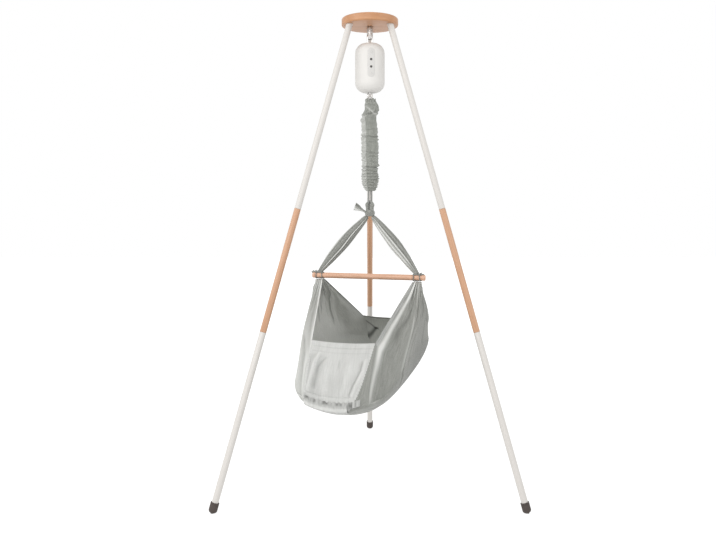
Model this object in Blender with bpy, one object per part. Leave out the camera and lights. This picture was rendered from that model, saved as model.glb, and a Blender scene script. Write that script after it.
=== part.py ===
"""Baby hammock on a three-legged stand, in metres, +Z up, at rest with the cradle turned as it hangs."""

from math import asin, cos, pi, radians, sin

import bmesh
import bpy
import numpy as np
from mathutils import Matrix, Vector

# Shared fits
GAP = 0.0003
TINY = 1e-6
BOLT_FIT = 0.0005
TOOL_REACH = 0.010

# Stand: the hub's axis stands at HUB_Y so that the origin is the middle of the whole object's box
HUB_Y = -0.1141
HUB_RADIUS = 0.118
HUB_UNDER = 1.900
HUB_THICK = 0.032
HUB_TOP = HUB_UNDER + HUB_THICK
HUB_ROUND = 0.006
HUB_SIDES = 40
FOOT_CIRCLE = 0.684
LEG_CIRCLE = 0.096
LEG_RADIUS = 0.013
LEG_WALL = 0.0015
LEG_NAMES = ("left", "right", "rear")
LEG_AZIMUTHS = {"left": radians(210), "right": radians(330), "rear": radians(90)}
WOOD_START = 0.400
WOOD_END = 0.651
STUD_RADIUS = 0.005
STUD_RISE = 0.026
STUD_STEP = 0.006
BORE_SPARE = 0.002
LEG_SIDES = 16
BORE_SIDES = 12
PLUG_LENGTH = 0.025
DOWEL_RADIUS = 0.006
DOWEL_LENGTH = 0.028
FOOT_RADIUS = 0.0165
FOOT_LENGTH = 0.040
FOOT_SOLE = 0.012
FOOT_FLOOR = 0.0115
FOOT_LIP = (0.0012, 0.002)
FOOT_HEEL = (0.0015, 0.0100, 0.0070)

# Hanging hardware under the hub, turned to face the way the control strip faces
GEAR_TURN = radians(5)
BOLT_RADIUS = 0.005
BOLT_HEAD = (0.0100, 1.8705, 1.8745)
BOLT_SINK = 0.0008
COUNTERBORE = (0.014, 0.010)
WASHER_RADIUS = 0.0125
WASHER_THICK = 0.0016
NUT_RADIUS = 0.0095
NUT_THICK = 0.006
HOUSING_RADIUS = 0.013
HOUSING_ROUND = 0.0015
HOUSING_BOTTOM = 1.866
HOUSING_TOP = 1.8985
CHAMBER_TOP = 1.8755
CHAMBER_RADIUS = 0.0105
EAR_HALF = 0.007
EAR_MIDDLE = 0.0098
EAR_THICK_HALF = 0.0027
EAR_HEIGHTS = (1.8465, 1.8698)
PIN_Z = 1.855
PIN_RADIUS = 0.0045
PIN_HALF = 0.0128
PIN_HEAD = (0.0013, 0.0012)
LINK_RADIUS = 0.004
LINK_HALF = 0.0095
LINK_BEND = 0.0060
LINK_TOP = PIN_Z + PIN_RADIUS + LINK_RADIUS + GAP
LINK_BOTTOM = 1.814

# Drive unit
CASE_RADIUS = 0.062
CASE_TOP = 1.829
CASE_BOTTOM = 1.624
CASE_ROUND = 0.042
CASE_WALL = 0.0025
CASE_TOP_HOLE = 0.017
CASE_BOTTOM_HOLE = 0.010
CASE_STEPS = 14
WINDOW_DEPTHS = (-0.075, -0.045)
STRIP_HALF = 0.0145
STRIP_LOW = 1.680
STRIP_HIGH = 1.800
STRIP_FRONT = -0.0620
STRIP_BACK = -0.0590
BUTTON_HEIGHTS = (1.783, 1.753, 1.723, 1.693)
BUTTON_RADIUS = 0.005
BUTTON_PROUD = 0.0012
BUTTON_ROUND = 0.0008
BUTTON_STEM = (0.002, 0.0525, 0.0575)
BOARD_FRONT = -0.0510
BOARD_THICK = 0.0016
BOARD_HALF = 0.013
BOARD_INSETS = (0.004, 0.003)
POST_RADIUS = 0.0025
POST_INSET = 0.0075
POST_ROOT = 0.0012
LUG_BOX = ((-0.0025, -0.0110, 1.7880), (0.0025, 0.0110, 1.8236))
SHELF_BOX = ((-0.0220, -0.0140, 1.7850), (0.0220, 0.0170, 1.7890))
PLATE_BOX = ((-0.0560, 0.0140, 1.7000), (0.0560, 0.01695, 1.7870))
SHAFT_RADIUS = 0.0032
SHAFT_BORE = 0.0036
SHAFT_END = 0.0230
MOTOR_RADIUS = 0.018
MOTOR_DEPTHS = (0.0173, 0.0250, 0.0430)
REEL_RADIUS = 0.014
REEL_Z = 1.740
REEL_FLANGE = 0.003
REEL_HALVES = (0.0060, 0.0075)
STRAP_HALF = 0.0005
STRAP_BOX = (0.005, 1.6563, 1.748)
REEL_X = -(REEL_RADIUS + GAP + STRAP_HALF)
SOCKET_Z = 1.660
SOCKET_RADIUS = 0.0062
SOCKET_BORE = 0.0036
SOCKET_DEPTHS = (0.0500, 0.0535, 0.0622)

# Hook, spring, sleeve and cord loop
HOOK_Z = 1.6125
HOOK_RING = 0.0085
HOOK_ROD = 0.00275
HOOK_STEM = ((0, 1.6560), (0.006, 1.6560), (0.006, 1.6500), (0.005, 1.6480), (0.005, 1.6220), (0.003, 1.6190))
HOOK_STEM_END = 1.6190
HOOK_SPAN = (62, 318)
GATE_SPAN = (34, -18)
GATE_SHARE = 0.72
WIRE_RADIUS = 0.00225
HOOK_PLAY = 0.0004
SPRING_RADIUS = 0.018
SPRING_TURNS = 12
SPRING_TOP = 1.515
SPRING_BOTTOM = 1.288
SPRING_LOOP = 0.007
SPRING_SPAN = (-35, 245)
SPRING_START = radians(200)
SPRING_SWEEP = radians(150)
SPRING_LEAD = 5
TURN_STEPS = 8
SLEEVE_TOP = 1.598
SLEEVE_BOTTOM = 1.214
SLEEVE_RADIUS = 0.033
SLEEVE_BORE = 0.0215
SLEEVE_MOUTHS = ((0.0112, 1.214), (0.0170, 1.248), (0.0215, 1.262))
SLEEVE_NECK = ((0.0215, 1.529), (0.0160, 1.547), (0.0135, 1.571), (0.0125, 1.598))
CORD_RADIUS = 0.0032
CORD_TURN = radians(45)
CORD_TOP = 1.2544
CORD_TOP_BEND = 0.0062
CORD_BOTTOM = 1.161
CORD_BOTTOM_BEND = 0.009
CORD_STEPS = 5

# Cradle, in its own frame: across is X, head to foot is Y, and the foot end faces the front
CRADLE_TURN = radians(-15)
KNOT_Z = 1.121
KNOT_RADIUS = 0.019
KNOT_HALF = 0.0125
KNOT_NECK = 0.010
KNOT_SIDES = 16
LOOP_BEND = 0.0140
LOOP_RISE = 0.0057
LOOP_FOOT = 0.0012
LOOP_THIN = 0.0049
LOOP_FULL = 0.0041
TAIL_PATH = (
    (-0.012, -0.006, 1.1240),
    (-0.026, -0.012, 1.1310),
    (-0.041, -0.015, 1.1380),
    (-0.054, -0.016, 1.1450),
    (-0.064, -0.016, 1.1500),
)
TAIL_RADII = ((0.0045, 0.0045), (0.0050, 0.0035), (0.0085, 0.0028), (0.0125, 0.0024), (0.0150, 0.0020))
BAR_Z = 0.855
BAR_RADIUS = 0.012
BAR_ENDS = (-0.257, 0.237)
BAR_ROUND = 0.0025
GATHER = {"left": -0.222, "right": 0.202}
STRAP_TOP = (0.0125, 0.0060)
STRAP_FOOT = 0.0020
STRAP_BOW = 0.003
STRAP_NARROW = (0.0075, 0.0065)
STRAP_SWELL = (0.0165, 0.0040)
STRAP_FOLD = 0.13
STRAP_ROWS = 11
GROOVE_RADIUS = 0.0105
GROOVE_HALF = 0.021
GROOVE_RAMP = 0.0015
GATHER_SPREAD = 0.017
GATHER_DEPTH = 0.014
WRAP_RADIUS = 0.016
WRAP_FIT = 0.0004
WRAP_SHY = 0.0022
WRAP_THICK = 0.0025
WRAP_RISES = (0.0008, 0.0016)
HULL_MIDDLE = -0.006
HULL_HALF = 0.212
HULL_FRONT = 0.463
HULL_BACK = 0.449
SHOULDER_MID = 0.569
SHOULDER_FRONT = 0.437
SHOULDER_BACK = 0.524
KEEL_MID = 0.321
KEEL_FRONT = 0.418
KEEL_BACK = 0.461
KEEL_POWER = 2.4
SECTION_POWER = 1.73
PLAN_POWER = 4
PANEL_HALF = 0.122
PANEL_TOP_Y = 0.360
PANEL_TOP_Z = {"front": 0.645, "back": 0.630}
PANEL_SAG = 0.006
PANEL_BEND = 0.055
PANEL_BULGE = {"front": 0.020, "back": 0.010}
PANEL_CROWN = {"front": 0.018, "back": 0.004}
SEAM_ANGLE = radians(50)
TOP_SHARE = 0.58
EDGE_SHARE = 0.80
SIDE_BOW = 0.012
SIDE_ROWS = (0, 0.06, 0.14, 0.24, 0.35, 0.47, TOP_SHARE, 0.66, 0.73, EDGE_SHARE, 0.87, 0.94, 1.0)
SIDE_COLUMNS = 21
CLOTH = 0.003
CLOTH_GATHERED = 0.0014
CLOTH_SKIRT = 0.0018
FOLD_HEIGHT = (0.0010, 0.0050)
PANEL_FOLD = 0.0018
SKIRT_FOLD = 0.0016
SKIRT_OFFSET = 0.0075
SKIRT_REACH = (0.004, 0.050)
SKIRT_END = radians(14)
SEAM_GAP = 0.0070
MATTRESS_THICK = 0.080
MATTRESS_HEAD_RISE = 0.030
MATTRESS_SHARE = 0.78
MATTRESS_SHIFT = 0.010
MATTRESS_ENDS = (0.022, 0.040)
MATTRESS_TIPS = (0.62, 0.88, 0.97)
MATTRESS_BED = 0.0075

# Colours
WHITE_PAINT = (0.84, 0.82, 0.79)
BEECH = (0.74, 0.46, 0.28)
STEEL = (0.62, 0.61, 0.60)
RUBBER = (0.075, 0.062, 0.055)
CASE_WHITE = (0.86, 0.85, 0.83)
GREY_CLOTH = (0.33, 0.34, 0.32)
PALE_CLOTH = (0.66, 0.66, 0.64)
CORD_GREY = (0.20, 0.21, 0.20)


def clear_scene():
    for item in list(bpy.data.objects):
        bpy.data.objects.remove(item, do_unlink=True)


def material(name, colour, roughness, metallic=0.0):
    made = bpy.data.materials.new(name)
    made.use_nodes = True
    shader = made.node_tree.nodes["Principled BSDF"]
    shader.inputs["Base Color"].default_value = (*colour, 1.0)
    shader.inputs["Roughness"].default_value = roughness
    shader.inputs["Metallic"].default_value = metallic
    made.diffuse_color = (*colour, 1.0)
    return made


def empty(name, location, turn=0.0):
    made = bpy.data.objects.new(name, None)
    made.location = location
    made.rotation_euler = (0, 0, turn)
    bpy.context.scene.collection.objects.link(made)
    return made


def finish(bm, name, look, parent, origin=(0, 0, 0), sharp=35):
    """Turns a bmesh into a named object whose origin lies at the given point of its parent."""
    bmesh.ops.remove_doubles(bm, verts=bm.verts, dist=TINY)
    bmesh.ops.recalc_face_normals(bm, faces=bm.faces)
    bmesh.ops.translate(bm, verts=bm.verts, vec=-Vector(origin))
    mesh = bpy.data.meshes.new(name)
    bm.to_mesh(mesh)
    bm.free()
    mesh.shade_smooth()
    mesh.set_sharp_from_angle(angle=radians(sharp))
    mesh.materials.append(look)
    made = bpy.data.objects.new(name, mesh)
    made.parent = parent
    made.location = origin
    bpy.context.scene.collection.objects.link(made)
    return made


def skin(bm, rings, closed=False):
    """Faces over rings of points. Closed joins the last ring to the first, otherwise both ends are capped."""
    rows = [[bm.verts.new(point) for point in ring] for ring in rings]
    pairs = list(zip(rows, rows[1:]))
    if closed:
        pairs.append((rows[-1], rows[0]))
    for low, high in pairs:
        for i in range(len(low)):
            j = (i + 1) % len(low)
            bm.faces.new((low[i], low[j], high[j], high[i]))
    if not closed:
        bm.faces.new(rows[0][::-1])
        bm.faces.new(rows[-1])


def loft(name, rings, look, parent, origin=(0, 0, 0), closed=False, sharp=35):
    bm = bmesh.new()
    skin(bm, rings, closed)
    return finish(bm, name, look, parent, origin, sharp)


def circle(radius, count, height=0.0):
    return [
        Vector((radius * cos(2 * pi * i / count), radius * sin(2 * pi * i / count), height))
        for i in range(count)
    ]


def turned_rings(profile, count, matrix):
    """Rings for a shape turned about Z, then moved by the matrix, from (radius, height) profile points."""
    return [[matrix @ point for point in circle(radius, count, height)] for radius, height in profile]


def turned(name, profile, look, parent, matrix=Matrix(), count=20, origin=(0, 0, 0), closed=False):
    return loft(name, turned_rings(profile, count, matrix), look, parent, origin, closed)


def box(bm, low, high):
    centre = (Vector(low) + Vector(high)) / 2
    size = Vector(high) - Vector(low)
    bmesh.ops.create_cube(bm, size=1, matrix=Matrix.Translation(centre) @ Matrix.Diagonal((*size, 1)))


def cutter(name, shapes, parent):
    """A hidden helper built from boxes or turned bodies, one function for each."""
    bm = bmesh.new()
    for shape in shapes:
        shape(bm)
    bmesh.ops.recalc_face_normals(bm, faces=bm.faces)
    mesh = bpy.data.meshes.new(name)
    bm.to_mesh(mesh)
    bm.free()
    made = bpy.data.objects.new(name, mesh)
    made.parent = parent
    made.hide_render = True
    made.display_type = "WIRE"
    bpy.context.scene.collection.objects.link(made)
    return made


def boolean(target, tool, operation="DIFFERENCE"):
    modifier = target.modifiers.new(operation.lower(), "BOOLEAN")
    modifier.operation = operation
    modifier.solver = "EXACT"
    modifier.object = tool


def rod_shape(radius, low, high, matrix=Matrix(), count=20):
    """A function that adds a plain round rod from low to high along Z, moved by the matrix."""
    return lambda bm: skin(bm, turned_rings([(radius, low), (radius, high)], count, matrix))


def box_shape(low, high):
    return lambda bm: box(bm, low, high)


def wire(name, points, radius, look, parent, resolution, cyclic=False):
    """A round wire or cord along points, as a curve with a bevel."""
    curve = bpy.data.curves.new(name, "CURVE")
    curve.dimensions = "3D"
    curve.bevel_depth = radius
    curve.bevel_resolution = resolution
    curve.use_fill_caps = True
    curve.materials.append(look)
    spline = curve.splines.new("POLY")
    spline.points.add(len(points) - 1)
    for target, point in zip(spline.points, points):
        target.co = (*point, 1.0)
    spline.use_cyclic_u = cyclic
    spline.use_smooth = True
    made = bpy.data.objects.new(name, curve)
    made.parent = parent
    bpy.context.scene.collection.objects.link(made)
    return made


def tube_rings(path, radii, count, squash=None, start_up=Vector((0, 1, 0))):
    """Rings square to a path. squash(i, angle) scales the radius of each ring point."""
    rings = []
    side = start_up
    for i, point in enumerate(path):
        ahead = path[min(i + 1, len(path) - 1)]
        behind = path[max(i - 1, 0)]
        forward = (ahead - behind).normalized()
        side = (side - forward * side.dot(forward)).normalized()
        other = forward.cross(side)
        ring = []
        for k in range(count):
            angle = 2 * pi * k / count
            wide, deep = radii[i]
            factor = squash(i, angle) if squash else 1.0
            ring.append(point + factor * (other * wide * cos(angle) + side * deep * sin(angle)))
        rings.append(ring)
    return rings


def smooth_step(value):
    value = min(max(value, 0.0), 1.0)
    return value * value * (3 - 2 * value)


# Stand


def leg_frame(name):
    """The matrix of a leg: Z runs down the leg from the hub's underside. Also the leg's length."""
    out = Vector((cos(LEG_AZIMUTHS[name]), sin(LEG_AZIMUTHS[name]), 0))
    top = out * LEG_CIRCLE + Vector((0, 0, HUB_UNDER))
    foot = out * FOOT_CIRCLE
    down = (foot - top).normalized()
    side = Vector((0, 0, 1)).cross(out)
    across = side.cross(down)
    turn = Matrix((across, side, down)).transposed().to_4x4()
    return Matrix.Translation(top) @ turn, (foot - top).length


def cut_ring(matrix, radius, height, count):
    """The ring where a tube about the leg's axis meets a level plane."""
    down = matrix.to_3x3() @ Vector((0, 0, 1))
    ring = []
    for point in circle(radius, count):
        start = matrix @ point
        ring.append(start + down * ((height - start.z) / down.z))
    return ring


def hub_disc(stand, look, frames):
    corner = [
        (HUB_RADIUS - HUB_ROUND + HUB_ROUND * sin(a), HUB_UNDER + HUB_ROUND - HUB_ROUND * cos(a))
        for a in (0, radians(45), radians(90))
    ]
    outline = corner + [(radius, HUB_UNDER + HUB_TOP - height) for radius, height in reversed(corner)]
    profile = [(0, HUB_UNDER), *outline, (0, HUB_TOP)]
    rings = turned_rings(profile, HUB_SIDES, Matrix())
    disc = loft("hub_disc", rings, look, stand)
    deep = -STUD_RISE - BORE_SPARE
    shapes = []
    for name in LEG_NAMES:
        shapes.append(rod_shape(STUD_RADIUS + GAP, deep, TOOL_REACH, frames[name][0], BORE_SIDES))
    low = HUB_UNDER - TOOL_REACH
    high = HUB_TOP + TOOL_REACH
    shapes.append(rod_shape(BOLT_RADIUS + BOLT_FIT, low, high, count=LEG_SIDES))
    boolean(disc, cutter("hub_bores", shapes, stand))
    radius, depth = COUNTERBORE
    boolean(disc, cutter("hub_counterbore", [rod_shape(radius, HUB_TOP - depth, high)], stand))


def leg(stand, name, frame, length, looks):
    """One leg: stud, steel tube, plug, wood section, plug, steel tube and rubber foot, from the hub down."""
    wood_low = WOOD_START * length
    wood_high = WOOD_END * length
    inner = LEG_RADIUS - LEG_WALL
    plug = inner - GAP
    plug_end = STUD_STEP + PLUG_LENGTH
    profile = [(0, -STUD_RISE), (STUD_RADIUS, -STUD_RISE), (STUD_RADIUS, STUD_STEP), (plug, STUD_STEP)]
    profile += [(plug, plug_end), (0, plug_end)]
    turned(f"leg_stud_{name}", profile, looks["steel"], stand, frame, BORE_SIDES)

    top = [cut_ring(frame, radius, HUB_UNDER - GAP, LEG_SIDES) for radius in (inner, LEG_RADIUS)]
    end = wood_low - GAP
    bottom = turned_rings([(LEG_RADIUS, end), (inner, end)], LEG_SIDES, frame)
    rings = [top[0], top[1], *bottom]
    loft(f"upper_leg_tube_{name}", rings, looks["paint"], stand, closed=True)

    for part, joint, way in (("upper", wood_low, -1), ("lower", wood_high, 1)):
        profile = [(0, way * PLUG_LENGTH), (plug, way * PLUG_LENGTH), (plug, way * GAP)]
        profile += [(DOWEL_RADIUS, way * GAP), (DOWEL_RADIUS, -way * DOWEL_LENGTH), (0, -way * DOWEL_LENGTH)]
        place = frame @ Matrix.Translation((0, 0, joint))
        turned(f"{part}_leg_connector_{name}", profile, looks["steel"], stand, place, BORE_SIDES)

    bore = DOWEL_RADIUS + GAP
    depth = DOWEL_LENGTH + BORE_SPARE
    profile = [(0, wood_low + depth), (bore, wood_low + depth), (bore, wood_low), (LEG_RADIUS, wood_low)]
    profile += [(LEG_RADIUS, wood_high), (bore, wood_high), (bore, wood_high - depth), (0, wood_high - depth)]
    turned(f"wood_section_{name}", profile, looks["wood"], stand, frame, LEG_SIDES)

    start = wood_high + GAP
    end = length - FOOT_FLOOR
    profile = [(LEG_RADIUS, start), (LEG_RADIUS, end), (inner, end), (inner, start)]
    turned(f"lower_leg_tube_{name}", profile, looks["paint"], stand, frame, LEG_SIDES, closed=True)

    bore = LEG_RADIUS + GAP
    floor = length - FOOT_FLOOR + GAP
    lip = length - FOOT_LENGTH
    lip_in, lip_down = FOOT_LIP
    heel_in, heel_high, heel_low = FOOT_HEEL
    profile = [(0, floor), (bore, floor), (bore, lip)]
    profile += [(FOOT_RADIUS - lip_in, lip), (FOOT_RADIUS, lip + lip_down)]
    profile += [(FOOT_RADIUS, length - heel_high), (FOOT_RADIUS - heel_in, length - heel_low)]
    rings = turned_rings(profile, LEG_SIDES, frame)
    rings.append(cut_ring(frame, FOOT_SOLE, 0.0, LEG_SIDES))
    loft(f"rubber_foot_{name}", rings, looks["rubber"], stand)


def hanger(stand, look):
    """The bolt that hangs everything from the hub, with its washer and nut let into the hub's top."""
    head, low, high = BOLT_HEAD
    top = HUB_TOP - BOLT_SINK
    profile = [(0, low), (head, low), (head, high), (BOLT_RADIUS, high), (BOLT_RADIUS, top), (0, top)]
    turned("hanger_bolt", profile, look, stand)
    seat = HUB_TOP - COUNTERBORE[1] + GAP
    bore = BOLT_RADIUS + GAP
    face = seat + WASHER_THICK
    washer = [(bore, seat), (WASHER_RADIUS, seat), (WASHER_RADIUS, face), (bore, face)]
    turned("hanger_washer", washer, look, stand, closed=True)
    nut_low = face + GAP
    nut_high = nut_low + NUT_THICK
    nut = loft("hanger_nut", [circle(NUT_RADIUS, 6, z) for z in (nut_low, nut_high)], look, stand)
    bore_tool = rod_shape(bore, nut_low - TOOL_REACH, nut_high + TOOL_REACH)
    boolean(nut, cutter("nut_bore", [bore_tool], stand))


# Hanging gear


def swivel(gear, look):
    """The turning block under the hub, with two ears that hold the cross pin."""
    neck = BOLT_RADIUS + BOLT_FIT
    profile = [(neck, HOUSING_TOP), (HOUSING_RADIUS - HOUSING_ROUND, HOUSING_TOP)]
    profile += [(HOUSING_RADIUS, HOUSING_TOP - HOUSING_ROUND), (HOUSING_RADIUS, HOUSING_BOTTOM)]
    profile += [(CHAMBER_RADIUS, HOUSING_BOTTOM), (CHAMBER_RADIUS, CHAMBER_TOP), (neck, CHAMBER_TOP)]
    housing = turned("swivel_housing", profile, look, gear, count=16, closed=True)
    low, high = EAR_HEIGHTS
    ears = []
    for way in (-1, 1):
        y = way * EAR_MIDDLE
        ears.append(box_shape((-EAR_HALF, y - EAR_THICK_HALF, low), (EAR_HALF, y + EAR_THICK_HALF, high)))
    boolean(housing, cutter("swivel_ears", ears, gear), "UNION")
    along_y = Matrix.Translation((0, 0, PIN_Z)) @ Matrix.Rotation(pi / 2, 4, "X")
    reach = PIN_HALF + TOOL_REACH
    boolean(housing, cutter("pin_bore", [rod_shape(PIN_RADIUS + GAP, -reach, reach, along_y)], gear))
    rim, thick = PIN_HEAD
    head = PIN_RADIUS + rim
    end = PIN_HALF + thick
    profile = [(0, -end), (head, -end), (head, -PIN_HALF), (PIN_RADIUS, -PIN_HALF)]
    profile += [(radius, -height) for radius, height in reversed(profile)]
    turned("swivel_pin", profile, look, gear, along_y, 16)


def suspension_link(gear, look):
    """A closed link: its top hangs on the pin, and its bottom bar carries the drive unit's frame."""
    top_centre = LINK_TOP - LINK_HALF
    points = [(LINK_HALF * cos(a), 0, top_centre + LINK_HALF * sin(a)) for a in np.linspace(0, pi, 11)]
    for way, start in ((-1, pi), (1, 1.5 * pi)):
        x = way * (LINK_HALF - LINK_BEND)
        z = LINK_BOTTOM + LINK_BEND
        for a in np.linspace(start, start + pi / 2, 5):
            points.append((x + LINK_BEND * cos(a), 0, z + LINK_BEND * sin(a)))
    wire("suspension_link", points, LINK_RADIUS, look, gear, 2, cyclic=True)


def case_profile():
    """The drive unit's wall as a closed outline of (radius, height): down the outside and up the inside."""
    steps = [radians(a) for a in (90, 60, 30, 0)]

    def corners(radius, bend, low, high, hole_top, hole_bottom):
        centre = radius - bend
        upper = [(centre + bend * cos(a), high - bend + bend * sin(a)) for a in steps]
        lower = [(centre + bend * cos(a), low + bend - bend * sin(a)) for a in reversed(steps)]
        return [(hole_top, high), *upper, *lower, (hole_bottom, low)]

    holes = (CASE_TOP_HOLE, CASE_BOTTOM_HOLE)
    wall = CASE_WALL
    outside = corners(CASE_RADIUS, CASE_ROUND, CASE_BOTTOM, CASE_TOP, *holes)
    inside = corners(CASE_RADIUS - wall, CASE_ROUND - wall, CASE_BOTTOM + wall, CASE_TOP - wall, *holes)
    return outside + inside[::-1]


def half_case(name, look, gear, start):
    """Half of the drive unit's casing, split on the plane through the control strip's sides."""
    rings = []
    side = 1 if start < pi / 2 else -1
    for i in range(CASE_STEPS + 1):
        angle = start + pi * i / CASE_STEPS
        across = Vector((cos(angle), sin(angle), 0))
        ring = [across * radius + Vector((0, 0, height)) for radius, height in case_profile()]
        if i in (0, CASE_STEPS):
            for point in ring:
                point.y = side * GAP / 2
        rings.append(ring)
    return loft(name, rings, look, gear)


def pill(half, low, high, depth):
    """A pill outline in the XZ plane at one depth."""
    points = []
    for centre, start in ((high - half, 0.0), (low + half, pi)):
        for i in range(9):
            angle = start + pi * i / 8
            points.append(Vector((half * cos(angle), depth, centre + half * sin(angle))))
    return points


def drive_unit(gear, looks):
    """The two casing halves, the socket, the control strip with its buttons and the board behind it."""
    front = half_case("front_shell", looks["case"], gear, pi)
    hole = STRIP_HALF + GAP
    outline = [pill(hole, STRIP_LOW - GAP, STRIP_HIGH + GAP, depth) for depth in WINDOW_DEPTHS]
    boolean(front, cutter("strip_window", [lambda bm: skin(bm, outline)], gear))
    back = half_case("back_shell", looks["case"], gear, 0.0)
    along_y = Matrix.Translation((0, 0, SOCKET_Z)) @ Matrix.Rotation(-pi / 2, 4, "X")
    root, floor, face = SOCKET_DEPTHS
    hole_tool = rod_shape(SOCKET_RADIUS + GAP, root - TOOL_REACH, face + TOOL_REACH, along_y)
    boolean(back, cutter("socket_hole", [hole_tool], gear))
    profile = [(0, root), (SOCKET_RADIUS, root), (SOCKET_RADIUS, face), (SOCKET_BORE, face)]
    profile += [(SOCKET_BORE, floor), (0, floor)]
    turned("power_socket", profile, looks["dark"], gear, along_y, 16)

    faces = [pill(STRIP_HALF, STRIP_LOW, STRIP_HIGH, depth) for depth in (STRIP_FRONT, STRIP_BACK)]
    strip = loft("control_strip", faces, looks["case"], gear)
    posts = []
    for height in (STRIP_LOW + POST_INSET, STRIP_HIGH - POST_INSET):
        along = Matrix.Translation((0, 0, height)) @ Matrix.Rotation(pi / 2, 4, "X")
        posts.append(rod_shape(POST_RADIUS, -BOARD_FRONT + GAP, -STRIP_BACK + POST_ROOT, along, 10))
    boolean(strip, cutter("strip_posts", posts, gear), "UNION")
    stem, stem_end, shoulder = BUTTON_STEM
    face = -STRIP_FRONT + BUTTON_PROUD
    rim = BUTTON_RADIUS - BUTTON_ROUND
    profile = [(0, stem_end), (stem, stem_end), (stem, shoulder), (BUTTON_RADIUS, shoulder)]
    profile += [(BUTTON_RADIUS, face - BUTTON_ROUND), (rim, face), (0, face)]
    holes = []
    for number, height in enumerate(BUTTON_HEIGHTS, start=1):
        along = Matrix.Translation((0, 0, height)) @ Matrix.Rotation(pi / 2, 4, "X")
        reach = (-STRIP_BACK - TOOL_REACH, -STRIP_FRONT + TOOL_REACH)
        holes.append(rod_shape(BUTTON_RADIUS + GAP, *reach, along, BORE_SIDES))
        look = looks["dark"] if number in (2, 3) else looks["case"]
        origin = (0, STRIP_FRONT, height)
        turned(f"button_{number}", profile, look, gear, along, BORE_SIDES, origin)
    boolean(strip, cutter("button_holes", holes, gear))

    bm = bmesh.new()
    below, above = BOARD_INSETS
    low = (-BOARD_HALF, BOARD_FRONT, STRIP_LOW + below)
    high = (BOARD_HALF, BOARD_FRONT + BOARD_THICK, STRIP_HIGH - above)
    box(bm, low, high)
    finish(bm, "circuit_board", looks["board"], gear)


def drive_frame(gear, looks):
    """The chassis: a lug on the link's bar, a shelf, and a plate that holds the gear motor."""
    bm = bmesh.new()
    box(bm, *LUG_BOX)
    frame = finish(bm, "drive_frame", looks["steel"], gear)
    boolean(frame, cutter("frame_shelf", [box_shape(*SHELF_BOX)], gear), "UNION")
    boolean(frame, cutter("frame_plate", [box_shape(*PLATE_BOX)], gear), "UNION")
    along_x = Matrix.Translation((0, 0, LINK_BOTTOM - GAP)) @ Matrix.Rotation(pi / 2, 4, "Y")
    along_y = Matrix.Translation((REEL_X, 0, REEL_Z)) @ Matrix.Rotation(-pi / 2, 4, "X")
    bores = [rod_shape(LINK_RADIUS + 2 * GAP, -TOOL_REACH, TOOL_REACH, along_x)]
    bores.append(rod_shape(SHAFT_BORE, 0.005, 0.030, along_y))
    boolean(frame, cutter("frame_bores", bores, gear))
    front, well, back = MOTOR_DEPTHS
    profile = [(0, well), (SHAFT_BORE, well), (SHAFT_BORE, front), (MOTOR_RADIUS, front)]
    profile += [(MOTOR_RADIUS, back), (0, back)]
    turned("gear_motor", profile, looks["steel"], gear, along_y, 20)
    flange = REEL_RADIUS + REEL_FLANGE
    inner, outer = REEL_HALVES
    profile = [(0, -outer), (flange, -outer), (flange, -inner), (REEL_RADIUS, -inner)]
    profile += [(REEL_RADIUS, inner), (flange, inner), (flange, outer), (SHAFT_RADIUS, outer)]
    profile += [(SHAFT_RADIUS, SHAFT_END), (0, SHAFT_END)]
    turned("drive_reel", profile, looks["dark"], gear, along_y, 16, origin=(REEL_X, 0, REEL_Z))
    half, low, high = STRAP_BOX
    bm = bmesh.new()
    box(bm, (-STRAP_HALF, -half, low), (STRAP_HALF, half, high))
    finish(bm, "drive_strap", looks["dark"], gear)


def drive_hook(gear, look):
    """The stem that the strap lifts, with an open ring under it and a sprung gate that closes the ring."""
    stem = turned("drive_hook", [*HOOK_STEM, (0, HOOK_STEM_END)], look, gear, count=16)

    def on_ring(degrees):
        return Vector((HOOK_RING * cos(radians(degrees)), 0, HOOK_Z + HOOK_RING * sin(radians(degrees))))

    path = [on_ring(a) for a in np.linspace(*HOOK_SPAN, 16)]
    rings = tube_rings(path, [(HOOK_ROD, HOOK_ROD)] * len(path), 10)
    boolean(stem, cutter("hook_ring", [lambda bm: skin(bm, rings)], gear), "UNION")
    gate = [on_ring(a) for a in GATE_SPAN]
    middle = (gate[0] + gate[1]) / 2
    rod = HOOK_ROD * GATE_SHARE
    loft("hook_gate", tube_rings([gate[0], middle, gate[1]], [(rod, rod)] * 3, 10), look, gear, gate[0])


# Spring, sleeve and cord


def flat_direction(azimuth):
    return Vector((cos(azimuth), sin(azimuth), 0))


def spring_end(centre, azimuth, way):
    """The hook at one end of the spring: most of a circle in an upright plane."""
    out = flat_direction(azimuth)
    start, sweep = SPRING_SPAN
    points = []
    for i in range(9):
        angle = radians(start + sweep * i / 8)
        up = SPRING_LOOP * sin(angle) * way
        points.append(out * SPRING_LOOP * cos(angle) + Vector((0, 0, centre + up)))
    return points


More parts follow.
